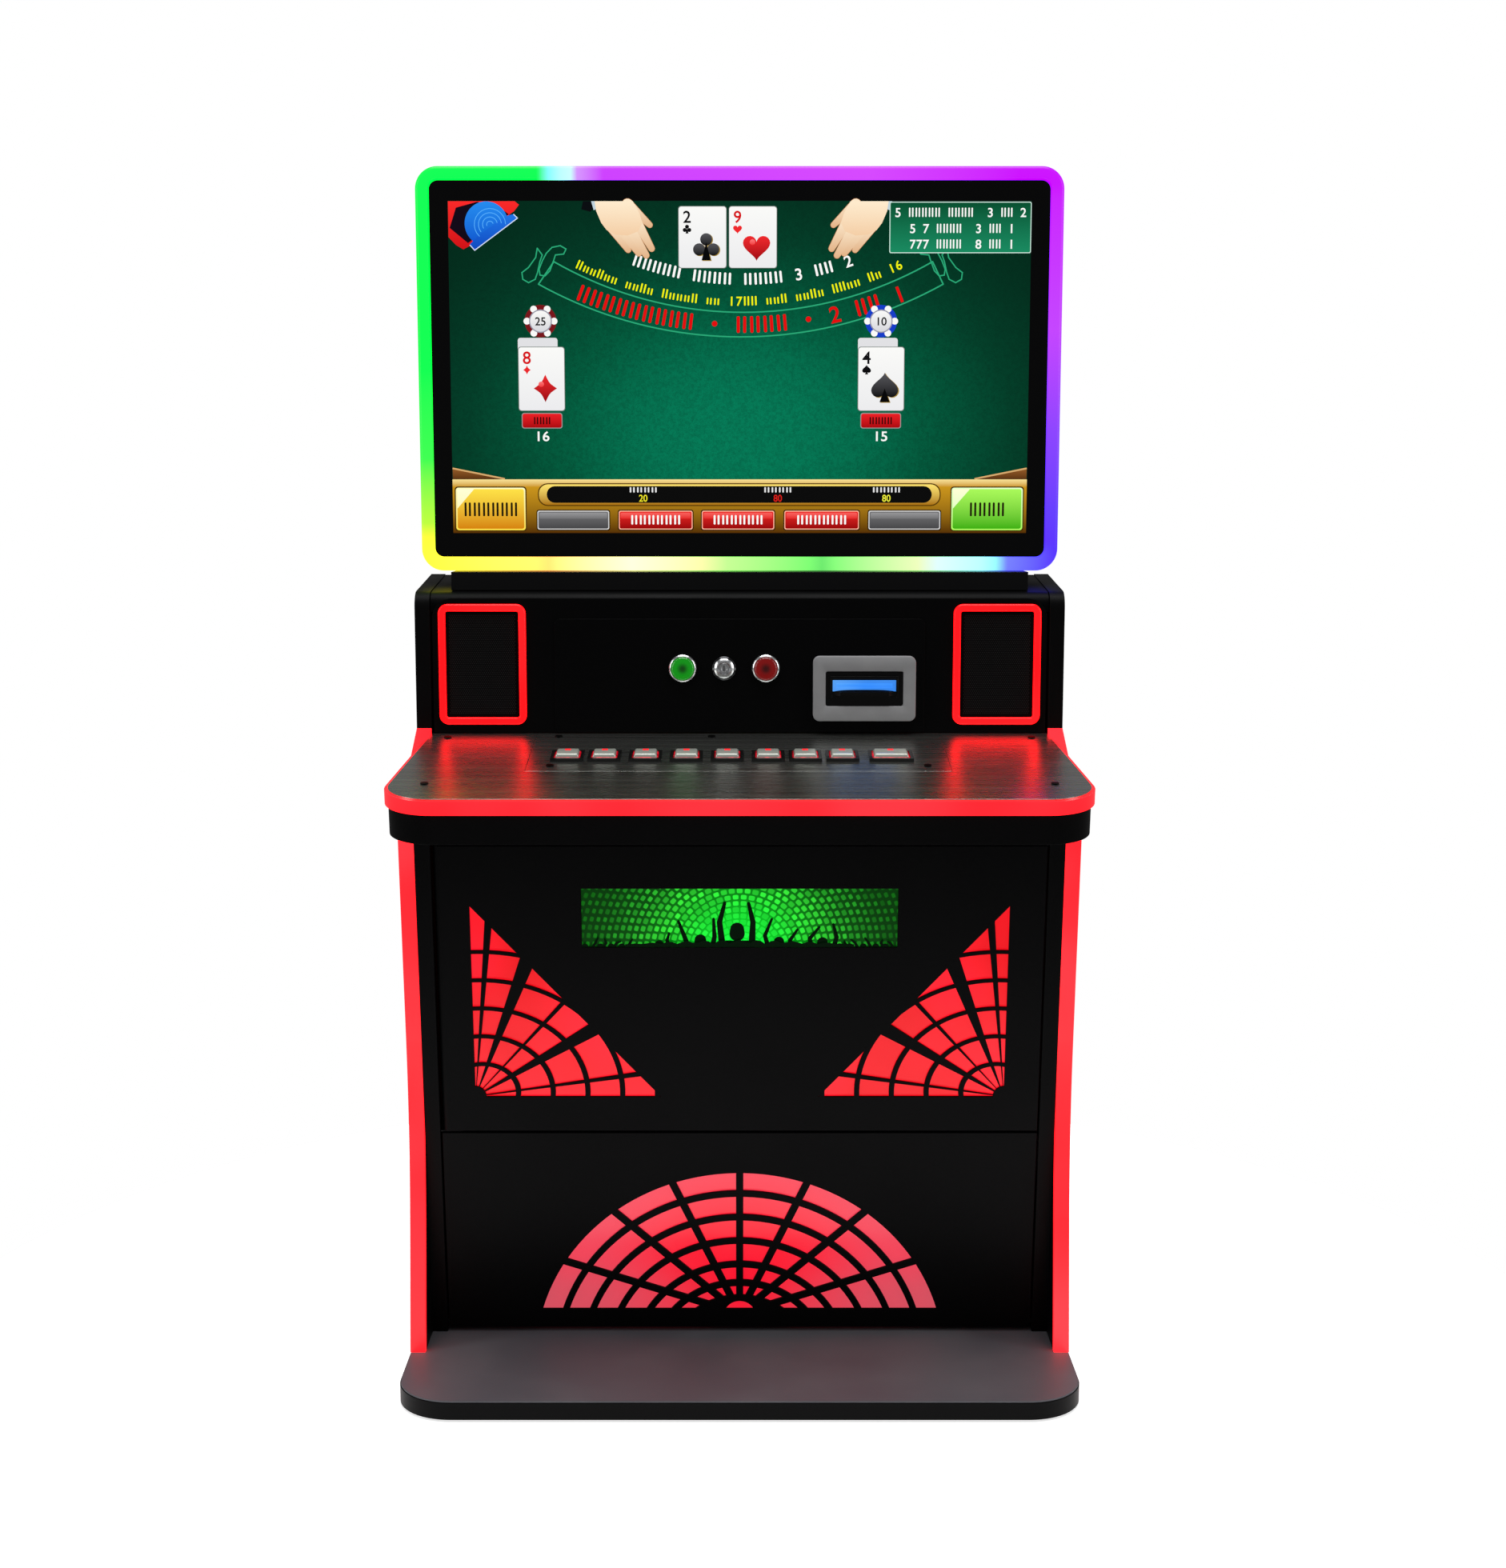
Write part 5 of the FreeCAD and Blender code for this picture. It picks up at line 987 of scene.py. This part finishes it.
def plaque(x_low, x_high, low, high, radius, level, colour, lower=None):
    """A rectangle with round corners."""
    outline = rounded_outline((x_low + x_high) / 2, (low + high) / 2, x_high - x_low, high - low, radius, 5)
    lay(outline, level, colour, lower)


def nested(x_low, x_high, low, high, level, *layers):
    """Plaques laid one on another; each layer is an inset from the first, a radius and colours."""
    for above, (inset, radius, *colours) in enumerate(layers):
        plaque(x_low + inset, x_high - inset, low + inset, high - inset, radius, level + above, *colours)


def disc(x, height, radius, level, colour, lower=None, steps=32):
    angles = [2 * math.pi * step / steps for step in range(steps)]
    lay([(x + radius * math.cos(a), height + radius * math.sin(a)) for a in angles], level, colour, lower)


def line(points, width, level, colour):
    """A line of even width through points."""
    for start, end in zip(points, points[1:]):
        first, last = Vector(start), Vector(end)
        along = (last - first).normalized()
        aside = Vector((-along.y, along.x)) * width / 2
        along *= width * 0.3
        lay((first - along + aside, first - along - aside, last + along - aside, last + along + aside),
            level, colour)


def digits(text, x, height, tall, level, colour, squeeze=1.0, turn=0.0):
    """Numbers, centred at x and standing on height."""
    curve = bpy.data.curves.new("digits", "FONT")
    curve.body = text
    curve.size = tall * 1.38
    curve.offset = 0.02 * tall
    curve.align_x = "CENTER"
    holder = bpy.data.objects.new("digits", curve)
    mesh = bpy.data.meshes.new_from_object(holder)
    y = picture_foot.y - 0.1 * MM - level * LAYER
    cosine, sine = math.cos(turn), math.sin(turn)
    spots = [(vertex.co.x * squeeze, vertex.co.y) for vertex in mesh.vertices]
    made = [art.verts.new(((x + a * cosine - b * sine) * MM, y,
                           picture_foot.z + (height + a * sine + b * cosine) * MM)) for a, b in spots]
    for polygon in mesh.polygons:
        face = art.faces.new([made[index] for index in polygon.vertices])
        face.normal_update()
        if face.normal.y > 0:
            face.normal_flip()
        for loop in face.loops:
            loop[tint] = (*srgb(*colour), 1)
    bpy.data.objects.remove(holder)
    bpy.data.meshes.remove(mesh)


def strokes(x, height, wide, tall, level, colour, turn=0.0):
    """Two plain upright strokes, standing in for one printed sign."""
    for side in (-1, 1):
        outline = rounded_outline(side * wide * 0.27, tall / 2, wide * 0.26, tall, wide * 0.1, 2)
        lay([(x + p.x * math.cos(turn) - p.y * math.sin(turn),
              height + p.x * math.sin(turn) + p.y * math.cos(turn)) for p in outline], level, colour)


def row(pattern, x, height, advance, tall, level, colour):
    """A straight printed row: # is a pair of strokes, a figure is itself."""
    start = x - advance * (len(pattern) - 1) / 2
    for index, sign in enumerate(pattern):
        if sign == "#":
            strokes(start + index * advance, height, advance * 0.86, tall, level, colour)
        elif sign != " ":
            digits(sign, start + index * advance, height, tall, level, colour)


WHITE, INK, RED = (250, 250, 248), (18, 18, 20), (216, 18, 24)
TEAL = (42, 168, 118)


def bow(half, end_height, sag, centre=0.0):
    """A hanging arc: its function gives the point and the turn at a distance along it."""
    radius = (half ** 2 + sag ** 2) / (2 * sag)
    limit = math.asin(half / radius)

    def at(share):
        angle = -limit + 2 * limit * share
        top = end_height + radius - sag
        return (centre + radius * math.sin(angle), top - radius * math.cos(angle)), angle
    return at, 2 * limit * radius


def bowed_row(pattern, half, end_height, sag, tall, level, colour, centre=0.0):
    """A printed row that hangs in an arc; a dot is a bullet."""
    at, length = bow(half, end_height, sag, centre)
    advance = length / len(pattern)
    for index, sign in enumerate(pattern):
        (x, height), turn = at((index + 0.5) / len(pattern))
        foot_x, foot = x + tall / 2 * math.sin(turn), height - tall / 2 * math.cos(turn)
        if sign == "#":
            strokes(foot_x, foot, advance * 0.88, tall, level, colour, turn)
        elif sign == "-":
            strokes(foot_x, foot, advance * 0.84, tall * 0.72, level, colour, turn)
        elif sign == ".":
            disc(x, height, tall * 0.17, level, colour, steps=12)
        elif sign != " ":
            digits(sign, foot_x, foot, tall, level, colour, 1.0, turn)


plaque(-PICTURE_EDGE, PICTURE_EDGE, 0, 65.7, 0.4, 1, (214, 158, 30), (84, 46, 2))
plaque(-PICTURE_EDGE, PICTURE_EDGE, 56.5, 65.7, 0.4, 2, (250, 226, 150), (206, 150, 34))
bowed_row("##### #### #### 3 ## 2", 134, 331, 23.6, 14.2, 6, WHITE, 3.7)
bowed_row("#--#-- --#- #---# -- 17## --# --#- ##-- #- 16", 198, 326, 44.9, 11.2, 6, (240, 244, 12), -0.7)
bowed_row("######### . #### . 2 ## 1", 200, 292.6, 39.7, 20, 6, (228, 10, 12), 2.2)
band_ends = []
for half, end_height, sag, centre in ((230.3, 328, 60.4, 4.3), (246.4, 301.2, 63, 1.4)):
    at, length = bow(half, end_height, sag, centre)
    points = [at(step / 40)[0] for step in range(41)]
    line(points, 1.7, 4, TEAL)
    band_ends.append((points[0], points[-1]))
for upper_end, lower_end in zip(band_ends[0], band_ends[1]):
    line([upper_end, lower_end], 1.7, 4, TEAL)
for side in (-1, 1):
    for scroll in (((229, 330), (227, 336), (217, 337), (214, 343), (221, 347), (231, 345), (238, 338),
                    (243, 329), (247, 319), (246, 312), (240, 311), (234, 317), (229, 330)),
                   ((249, 344), (251, 333), (260, 321), (268, 315), (267, 307), (260, 303), (252, 307),
                    (249, 315), (246, 328), (243, 336), (249, 344))):
        line([(side * x + 3, height) for x, height in scroll], 1.5, 4, TEAL)


def leaf(x, height, size, upright):
    """The outline of a heart, or of a spade's blade where upright is -1."""
    angles = [2 * math.pi * step / 36 for step in range(36)]
    return [(x + size * math.sin(a) ** 3, height + upright * size / 16 * (
        13 * math.cos(a) - 5 * math.cos(2 * a) - 2 * math.cos(3 * a) - math.cos(4 * a))) for a in angles]


def pip(kind, x, height, size, level, shaded=False):
    """A card's suit sign: club, heart, diamond or spade."""
    dark = (170, 140, 60) if shaded == "edge" else (4, 4, 6)
    red_low = (150, 0, 10) if shaded else None
    grey = dark if shaded == "edge" else (84, 84, 88)
    face = grey if shaded else INK
    if kind == "diamond":
        curve = []
        for quarter in range(4):
            start, end = math.radians(90 * quarter), math.radians(90 * quarter + 90)
            a = Vector((math.cos(start) * 0.86, math.sin(start)))
            b = Vector((math.cos(end) * 0.86, math.sin(end)))
            for step in range(5):
                share = step / 5
                point = a.lerp(b, share) * (1 - 0.22 * math.sin(math.pi * share))
                curve.append((x + size * point.x, height + size * point.y))
        lay(curve, level, (235, 40, 44), red_low)
    elif kind == "heart":
        lay(leaf(x, height, size, 1), level, (240, 40, 44), red_low)
    elif kind == "spade":
        lay(leaf(x, height + size * 0.1, size, -1), level, face, dark)
        lay([(x, height), (x - size * 0.38, height - size), (x + size * 0.38, height - size)],
            level + 1, dark)
    else:
        for ox, oz in ((0, 0.5), (-0.52, -0.22), (0.52, -0.22)):
            disc(x + size * ox, height + size * oz, size * 0.44, level, face, dark)
        lay([(x, height + size * 0.3), (x - size * 0.34, height - size), (x + size * 0.34, height - size)],
            level + 1, dark)


def card(x_low, x_high, low, high, number, kind, level):
    """A playing card: its number and sign in the corner, and a large sign below."""
    nested(x_low, x_high, low, high, level, (-0.8, 3.6, (120, 130, 125)), (0, 3.2, WHITE, (236, 236, 238)))
    colour = RED if kind in ("diamond", "heart") else INK
    tall = (high - low) * 0.2
    digits(number, x_low + 10, high - tall - 4.5, tall, level + 2, colour)
    pip(kind, x_low + 10, high - tall - 12, 5.4, level + 2)
    large_x, large_z = (x_low + x_high) / 2 + 4.5, low + (high - low) * 0.35
    if kind in ("club", "spade"):
        pip(kind, large_x + 1.0, large_z - 0.6, 16.8, level + 2, "edge")
    pip(kind, large_x, large_z, 16.6, level + 4, True)
    if kind in ("heart", "diamond"):
        disc(large_x - 5, large_z + 5, 3.4, level + 7, (255, 120, 120), (240, 52, 54), steps=16)


card(-73.9, -16.5, 320.8, 393.2, "2", "club", 10)
card(-12.6, 44.7, 320.8, 393.2, "9", "heart", 10)
for side_x, number, kind, score, edge, field in ((-242.6, "8", "diamond", "16", (120, 20, 26), "25"),
                                                 (173.2, "4", "spade", "15", (20, 60, 200), "10")):
    plaque(side_x - 28.6, side_x + 20, 180, 237, 3.2, 9, (225, 225, 228))
    card(side_x - 27.8, side_x + 27.8, 149.5, 225.6, number, kind, 10)
    nested(side_x - 25, side_x + 25, 127.6, 146.6, 10, (0, 3.2, (150, 150, 150)),
           (1, 2.6, (236, 30, 36), (170, 6, 12)))
    row("###" if side_x < 0 else "####", side_x, 132.6, 7.4, 9, 12, (52, 4, 6))
    digits(score, side_x, 112.5, 12, 10, WHITE, 1.1)
    chip_x, chip_z = side_x - 0.5, 257.0
    disc(chip_x, chip_z, 19.5, 13, edge)
    for step in range(6):
        turn = math.pi / 3 * step
        disc(chip_x + 16.6 * math.cos(turn), chip_z + 16.6 * math.sin(turn), 4.2, 14, WHITE, steps=12)
    disc(chip_x, chip_z, 14.0, 15, (150, 150, 166))
    disc(chip_x, chip_z, 12.6, 16, WHITE, (214, 214, 220))
    digits(field, chip_x, chip_z - 5.0, 10, 17, INK)

plaque(181.8, 354, 338, 399, 2.2, 8, (196, 226, 214))
plaque(182.9, 352.9, 339.1, 397.9, 1.6, 9, (4, 78, 46), (24, 138, 96))
for pattern, x, height in (("5 ##### ####  3 ## 2", 268, 381), ("5 7 ####  3 ## 1", 270, 362),
                           ("777 ####  8 ## 1", 270, 343.5)):
    row(pattern, x, height, 8.0, 11, 10, WHITE)

# The tray in the upper left corner is a plain red plate round a blue dome with a rim.
def arc(x, height, radius, degrees):
    """Points on a circle, one for each angle."""
    angles = [math.radians(angle) for angle in degrees]
    return [(x + radius * math.cos(a), height + radius * math.sin(a)) for a in angles]


lay([(-353.6, 399.6), (-272.7, 399.6), (-267.5, 395.4), (-273.6, 387.7), (-285, 380), (-322.9, 352),
     (-324.6, 348.5), (-335.8, 342.6), (-344.5, 347.7), (-353.6, 357.1)][::-1], 7, (250, 40, 40),
    (206, 14, 20))
lay([(-330, 350), (-352, 368), (-344, 392), (-318, 399), (-290, 392), (-280, 384)], 8, (16, 6, 22))
lay(arc(-307.3, 373, 26.5, range(-2, 250, 8)), 9, (36, 140, 240), (12, 84, 206))
lay([(-328, 348.5), (-322, 341.7), (-269.2, 380), (-274.4, 384.3), (-284, 382), (-316, 360)], 10,
    (30, 116, 230), (10, 70, 190))
for step in range(4):
    line(arc(-303, 372, 4 + 5 * step, range(20 - 6 * step, 215 + 6 * step, 15)), 0.8, 11, (90, 180, 255))
line([(-327.5, 347.5), (-322, 341.5), (-269.5, 379.6), (-274, 384)], 1.2, 12, (206, 222, 244))


def hand(mirror, level):
    """A dealer's open hand from above: a cuff, a palm, four fingers and a thumb in plain outline."""
    skin, shade = (255, 236, 206), (226, 178, 134)

    def at(x, height):
        return (x, height) if mirror > 0 else (4.8 - x, height)
    def outline(*points):
        return [at(*point) for point in points][::mirror]
    lay(outline((-190, 399.6), (-192, 390), (-181, 387), (-170, 399.6)), level, (6, 10, 14))
    lay(outline((-180, 399.6), (-177, 389), (-172, 391), (-166, 399.6)), level + 1, (190, 210, 220))
    for start, end, wide, tip in (((-156, 370), (-135.5, 342), 6.2, 3.4),
                                  ((-145, 368), (-122.5, 338), 6.4, 3.6),
                                  ((-134, 369), (-113.5, 335.5), 6.4, 3.6),
                                  ((-125, 375), (-107, 343.5), 6.2, 3.6),
                                  ((-136, 396), (-109, 371.5), 6.6, 3.2)):
        lay(capsule(at(*start), at(*end), wide + 0.5, tip + 0.5), level + 2, (196, 140, 96))
        lay(capsule(at(*start), at(*end), wide, tip), level + 3, skin, shade)
    lay(outline((-175.8, 399.6), (-174, 388), (-168, 374), (-161.5, 365.5), (-151, 360), (-136, 359),
                (-123, 364), (-118, 374), (-121.5, 385), (-129.5, 399.6)), level + 4, skin, (244, 206, 166))


hand(1, 5)
hand(-1, 5)

# Control bar along the picture's foot.
for x_low, x_high, top_colour, foot_colour, glow_colour in (
        (-351.6, -263, (255, 226, 70), (214, 130, 10), (255, 250, 190)),
        (260, 350.7, (170, 250, 90), (60, 176, 14), (230, 255, 200))):
    nested(x_low, x_high, 2, 57, 4, (0, 4, (70, 44, 6)), (1.4, 3.4, glow_colour, top_colour),
           (3.2, 2.6, top_colour, foot_colour))
    lay([(x_low + 3.2, 53.8), (x_low + 3.2, 30), (x_low + 24, 53.8)], 7, (255, 255, 214), glow_colour)
    row("######" if x_low < 0 else "####", (x_low + x_high) / 2, 20.5, 11.4, 17, 8, (30, 24, 6))
nested(-249, 248, 33, 61, 4, (0, 12, (90, 60, 6)), (1.4, 11, (255, 226, 110), (170, 112, 10)))
plaque(-238, 237, 37, 57.4, 10, 6, (8, 8, 8))
for x, text, colour in ((-119, "20", (240, 230, 40)), (47, "80", (214, 30, 24)), (181, "80", (236, 236, 60))):
    digits(text, x, 38.6, 8.6, 7, colour, 0.9)
    row("####", x, 49.6, 9, 6.6, 7, (226, 226, 226))
for x_low, x_high, lit in ((-251, -160, False), (-150.6, -57, True), (-48, 44, True), (54, 148.6, True),
                           (158, 249, False)):
    rim_colour = (255, 176, 150) if lit else (210, 210, 210)
    top_colour, foot_colour = ((232, 36, 34), (150, 4, 6)) if lit else ((112, 112, 114), (70, 70, 72))
    shine = ((250, 96, 92), (228, 40, 38)) if lit else ((150, 150, 152), (112, 112, 114))
    nested(x_low, x_high, 3, 28.6, 4, (0, 3, (40, 26, 4)), (1.2, 2.4, rim_colour),
           (2.4, 2, top_colour, foot_colour))
    plaque(x_low + 3.6, x_high - 3.6, 17.5, 25, 1.6, 7, *shine)
    if lit:
        row("######", (x_low + x_high) / 2, 10.4, 10.6, 11.6, 8, WHITE)
for side in (-1, 1):
    rim_points = [(side * 353.5, 80), (side * 353.5, 66), (side * 290, 66)]
    lay(rim_points[::side], 2, (150, 92, 40), (90, 50, 16))
    line([(side * 353, 79), (side * 290, 66.4)], 2.0, 3, (214, 170, 110))

art_piece = new_piece("picture_art", mesh_of(art, "picture_art"), tinted, "cabinet")
felt_mesh = bpy.data.meshes.new("picture_felt")
felt_y = picture_foot.y - 0.06 * MM
felt_mesh.from_pydata([(x * MM, felt_y, picture_foot.z + z * MM) for x, z in (
    (-PICTURE_EDGE, 0), (PICTURE_EDGE, 0), (PICTURE_EDGE, PICTURE_TALL), (-PICTURE_EDGE, PICTURE_TALL))],
    [], [(0, 1, 2, 3)])
felt_piece = new_piece("picture_felt", felt_mesh, felt, "cabinet")


# Back of the monitor: a shell of folded steel in black paint, screwed to a bent steel stand. Four fields of
# vents cool the panel; they are dark discs laid on the shell, painted shade where the real shell is punched
# through.
back_paint = Finish("back_paint", (0.007, 0.007, 0.0075), 0.45, Specular_IOR_Level=0.35)
back_paint.grain(420, 3, 0.0003, 0.3, soft_edge=1.5 * MM)
back_paint.sheen(12, 4, 0.15, 0.36)
dress(back_paint, "monitor_housing", "monitor_bracket")
# Vents and screw sockets are dark discs laid on the surface: painted shade where the real parts are hollow.
hollow_shade_black = Finish("hollow_shade_black", (0.0006, 0.0006, 0.0006), 0.9, Specular_IOR_Level=0.05)
hollow_shade_black.sheen(60, 1, 0.1, 0.85)
shell_low, shell_high = (Vector(corner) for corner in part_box("monitor_housing"))
facing_back = Matrix.Rotation(math.radians(-90), 4, "X")
vent_blocks = []
for x in (-0.24, 0.24):
    for z in (0.12, 0.38):
        vents = hole_shade_grid("housing_vents", hollow_shade_black, columns=26, rows=8, pitch=7 * MM, radius=2.1 * MM,
                             sides=8)
        vents.transform(Matrix.Translation((x, shell_high.y + 0.05 * MM, shell_low.z + z)) @ facing_back)
        vent_blocks.append(vents)
housing_vents = new_piece("housing_vents", merged("housing_vents", vent_blocks), hollow_shade_black, "cabinet")


# Back board and rear door: black laminated board. Button-head screws hold the board to the cheeks, and
# the door has a field of vents beside its fan.
laminate = Finish("black_laminate", (0.006, 0.006, 0.0066), 0.5, Specular_IOR_Level=0.3)
fleck = laminate.node("TexVoronoi", {}, {"Vector": laminate.place(), "Scale": 900.0}, "Distance")
laminate.bump(fleck, 0.0003, 0.3, soft_edge=1.5 * MM)
laminate.sheen(20, 4, 0.14, 0.42)
dress(laminate, "back_panel", "rear_door")
board_low, board_high = (Vector(corner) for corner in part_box("back_panel"))
door_low, door_high = (Vector(corner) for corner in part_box("rear_door"))
# The door's vents are dark discs too: painted shade where the real door is punched through.
door_vents = hole_shade_grid("door_vents", hollow_shade_black, columns=36, rows=12, pitch=7 * MM, radius=2.2 * MM,
                          sides=8)
door_vents.transform(Matrix.Translation((-0.1, door_high.y + 0.05 * MM, door_low.z + 0.09)) @ facing_back)
new_piece("door_vents", door_vents, hollow_shade_black, "rear_door")
zinc = Finish("black_zinc", srgb(86, 86, 90), 0.35, Metallic=1.0)
zinc.sheen(400, 2, 0.2, 0.25)
places = bpy.data.meshes.new("back_screws")
EDGE = 14 * MM
side_x = board_high.x - EDGE
places.from_pydata([(side * side_x, board_high.z - EDGE - (board_high.z - board_low.z - 2 * EDGE) * share, 0)
                    for side in (-1, 1) for share in (0, 0.25, 0.5, 0.75, 1)]
                   + [(x, board_high.z - EDGE, 0) for x in (-0.15, 0.15)], [], [])
screws = Growth("back_screws", head_radius=4.2 * MM, head_height=2.0 * MM, recess=1.9 * MM)
crown = screws.sum("MULTIPLY", screws.given["head_radius"], 0.62)
head = screws.add("GeometryNodeMeshCone", {"Vertices": 20, "Radius Top": crown,
                                           "Radius Bottom": screws.given["head_radius"],
                                           "Depth": screws.given["head_height"]})
# The hex socket in each screw head is a dark disc: painted shade of its recess.
socket = screws.add("GeometryNodeMeshCircle", {"Vertices": 6, "Radius": screws.given["recess"]},
                    fill_type="NGON")
above = screws.add("ShaderNodeCombineXYZ", {2: screws.sum("ADD", screws.given["head_height"], 0.05 * MM)})
socket = screws.add("GeometryNodeTransform", {"Geometry": socket, "Translation": above})
both = [screws.painted(head, zinc), screws.painted(socket, hollow_shade_black)]
screw = screws.add("GeometryNodeJoinGeometry", {"Geometry": both})
placed = screws.add("GeometryNodeInstanceOnPoints", {"Points": screws.given["Geometry"], "Instance": screw})
screw_mesh = screws.grow(placed, places)
screw_mesh.transform(Matrix.Translation((0, board_high.y, 0)) @ facing_back @ Matrix.Scale(-1, 4, (0, 1, 0)))
shape = bmesh.new()
shape.from_mesh(screw_mesh)
bmesh.ops.recalc_face_normals(shape, faces=shape.faces[:])
shape.to_mesh(screw_mesh)
shape.free()
new_piece("back_screws", screw_mesh, None, "cabinet")


# Back fittings and the units inside: the fan, the mains inlet and its rocker are moulded in black
# plastic and fixed through the back. The bill unit's case and its cash box are plastic too.
fan_plastic = Finish("fan_plastic", (0.01, 0.01, 0.01), 0.35)
fan_plastic.grain(300, 2, 0.0002, 0.3)
dress(fan_plastic, "fan_frame", "fan_rotor", "power_inlet", "power_rocker", "bill_validator", "bill_stacker")
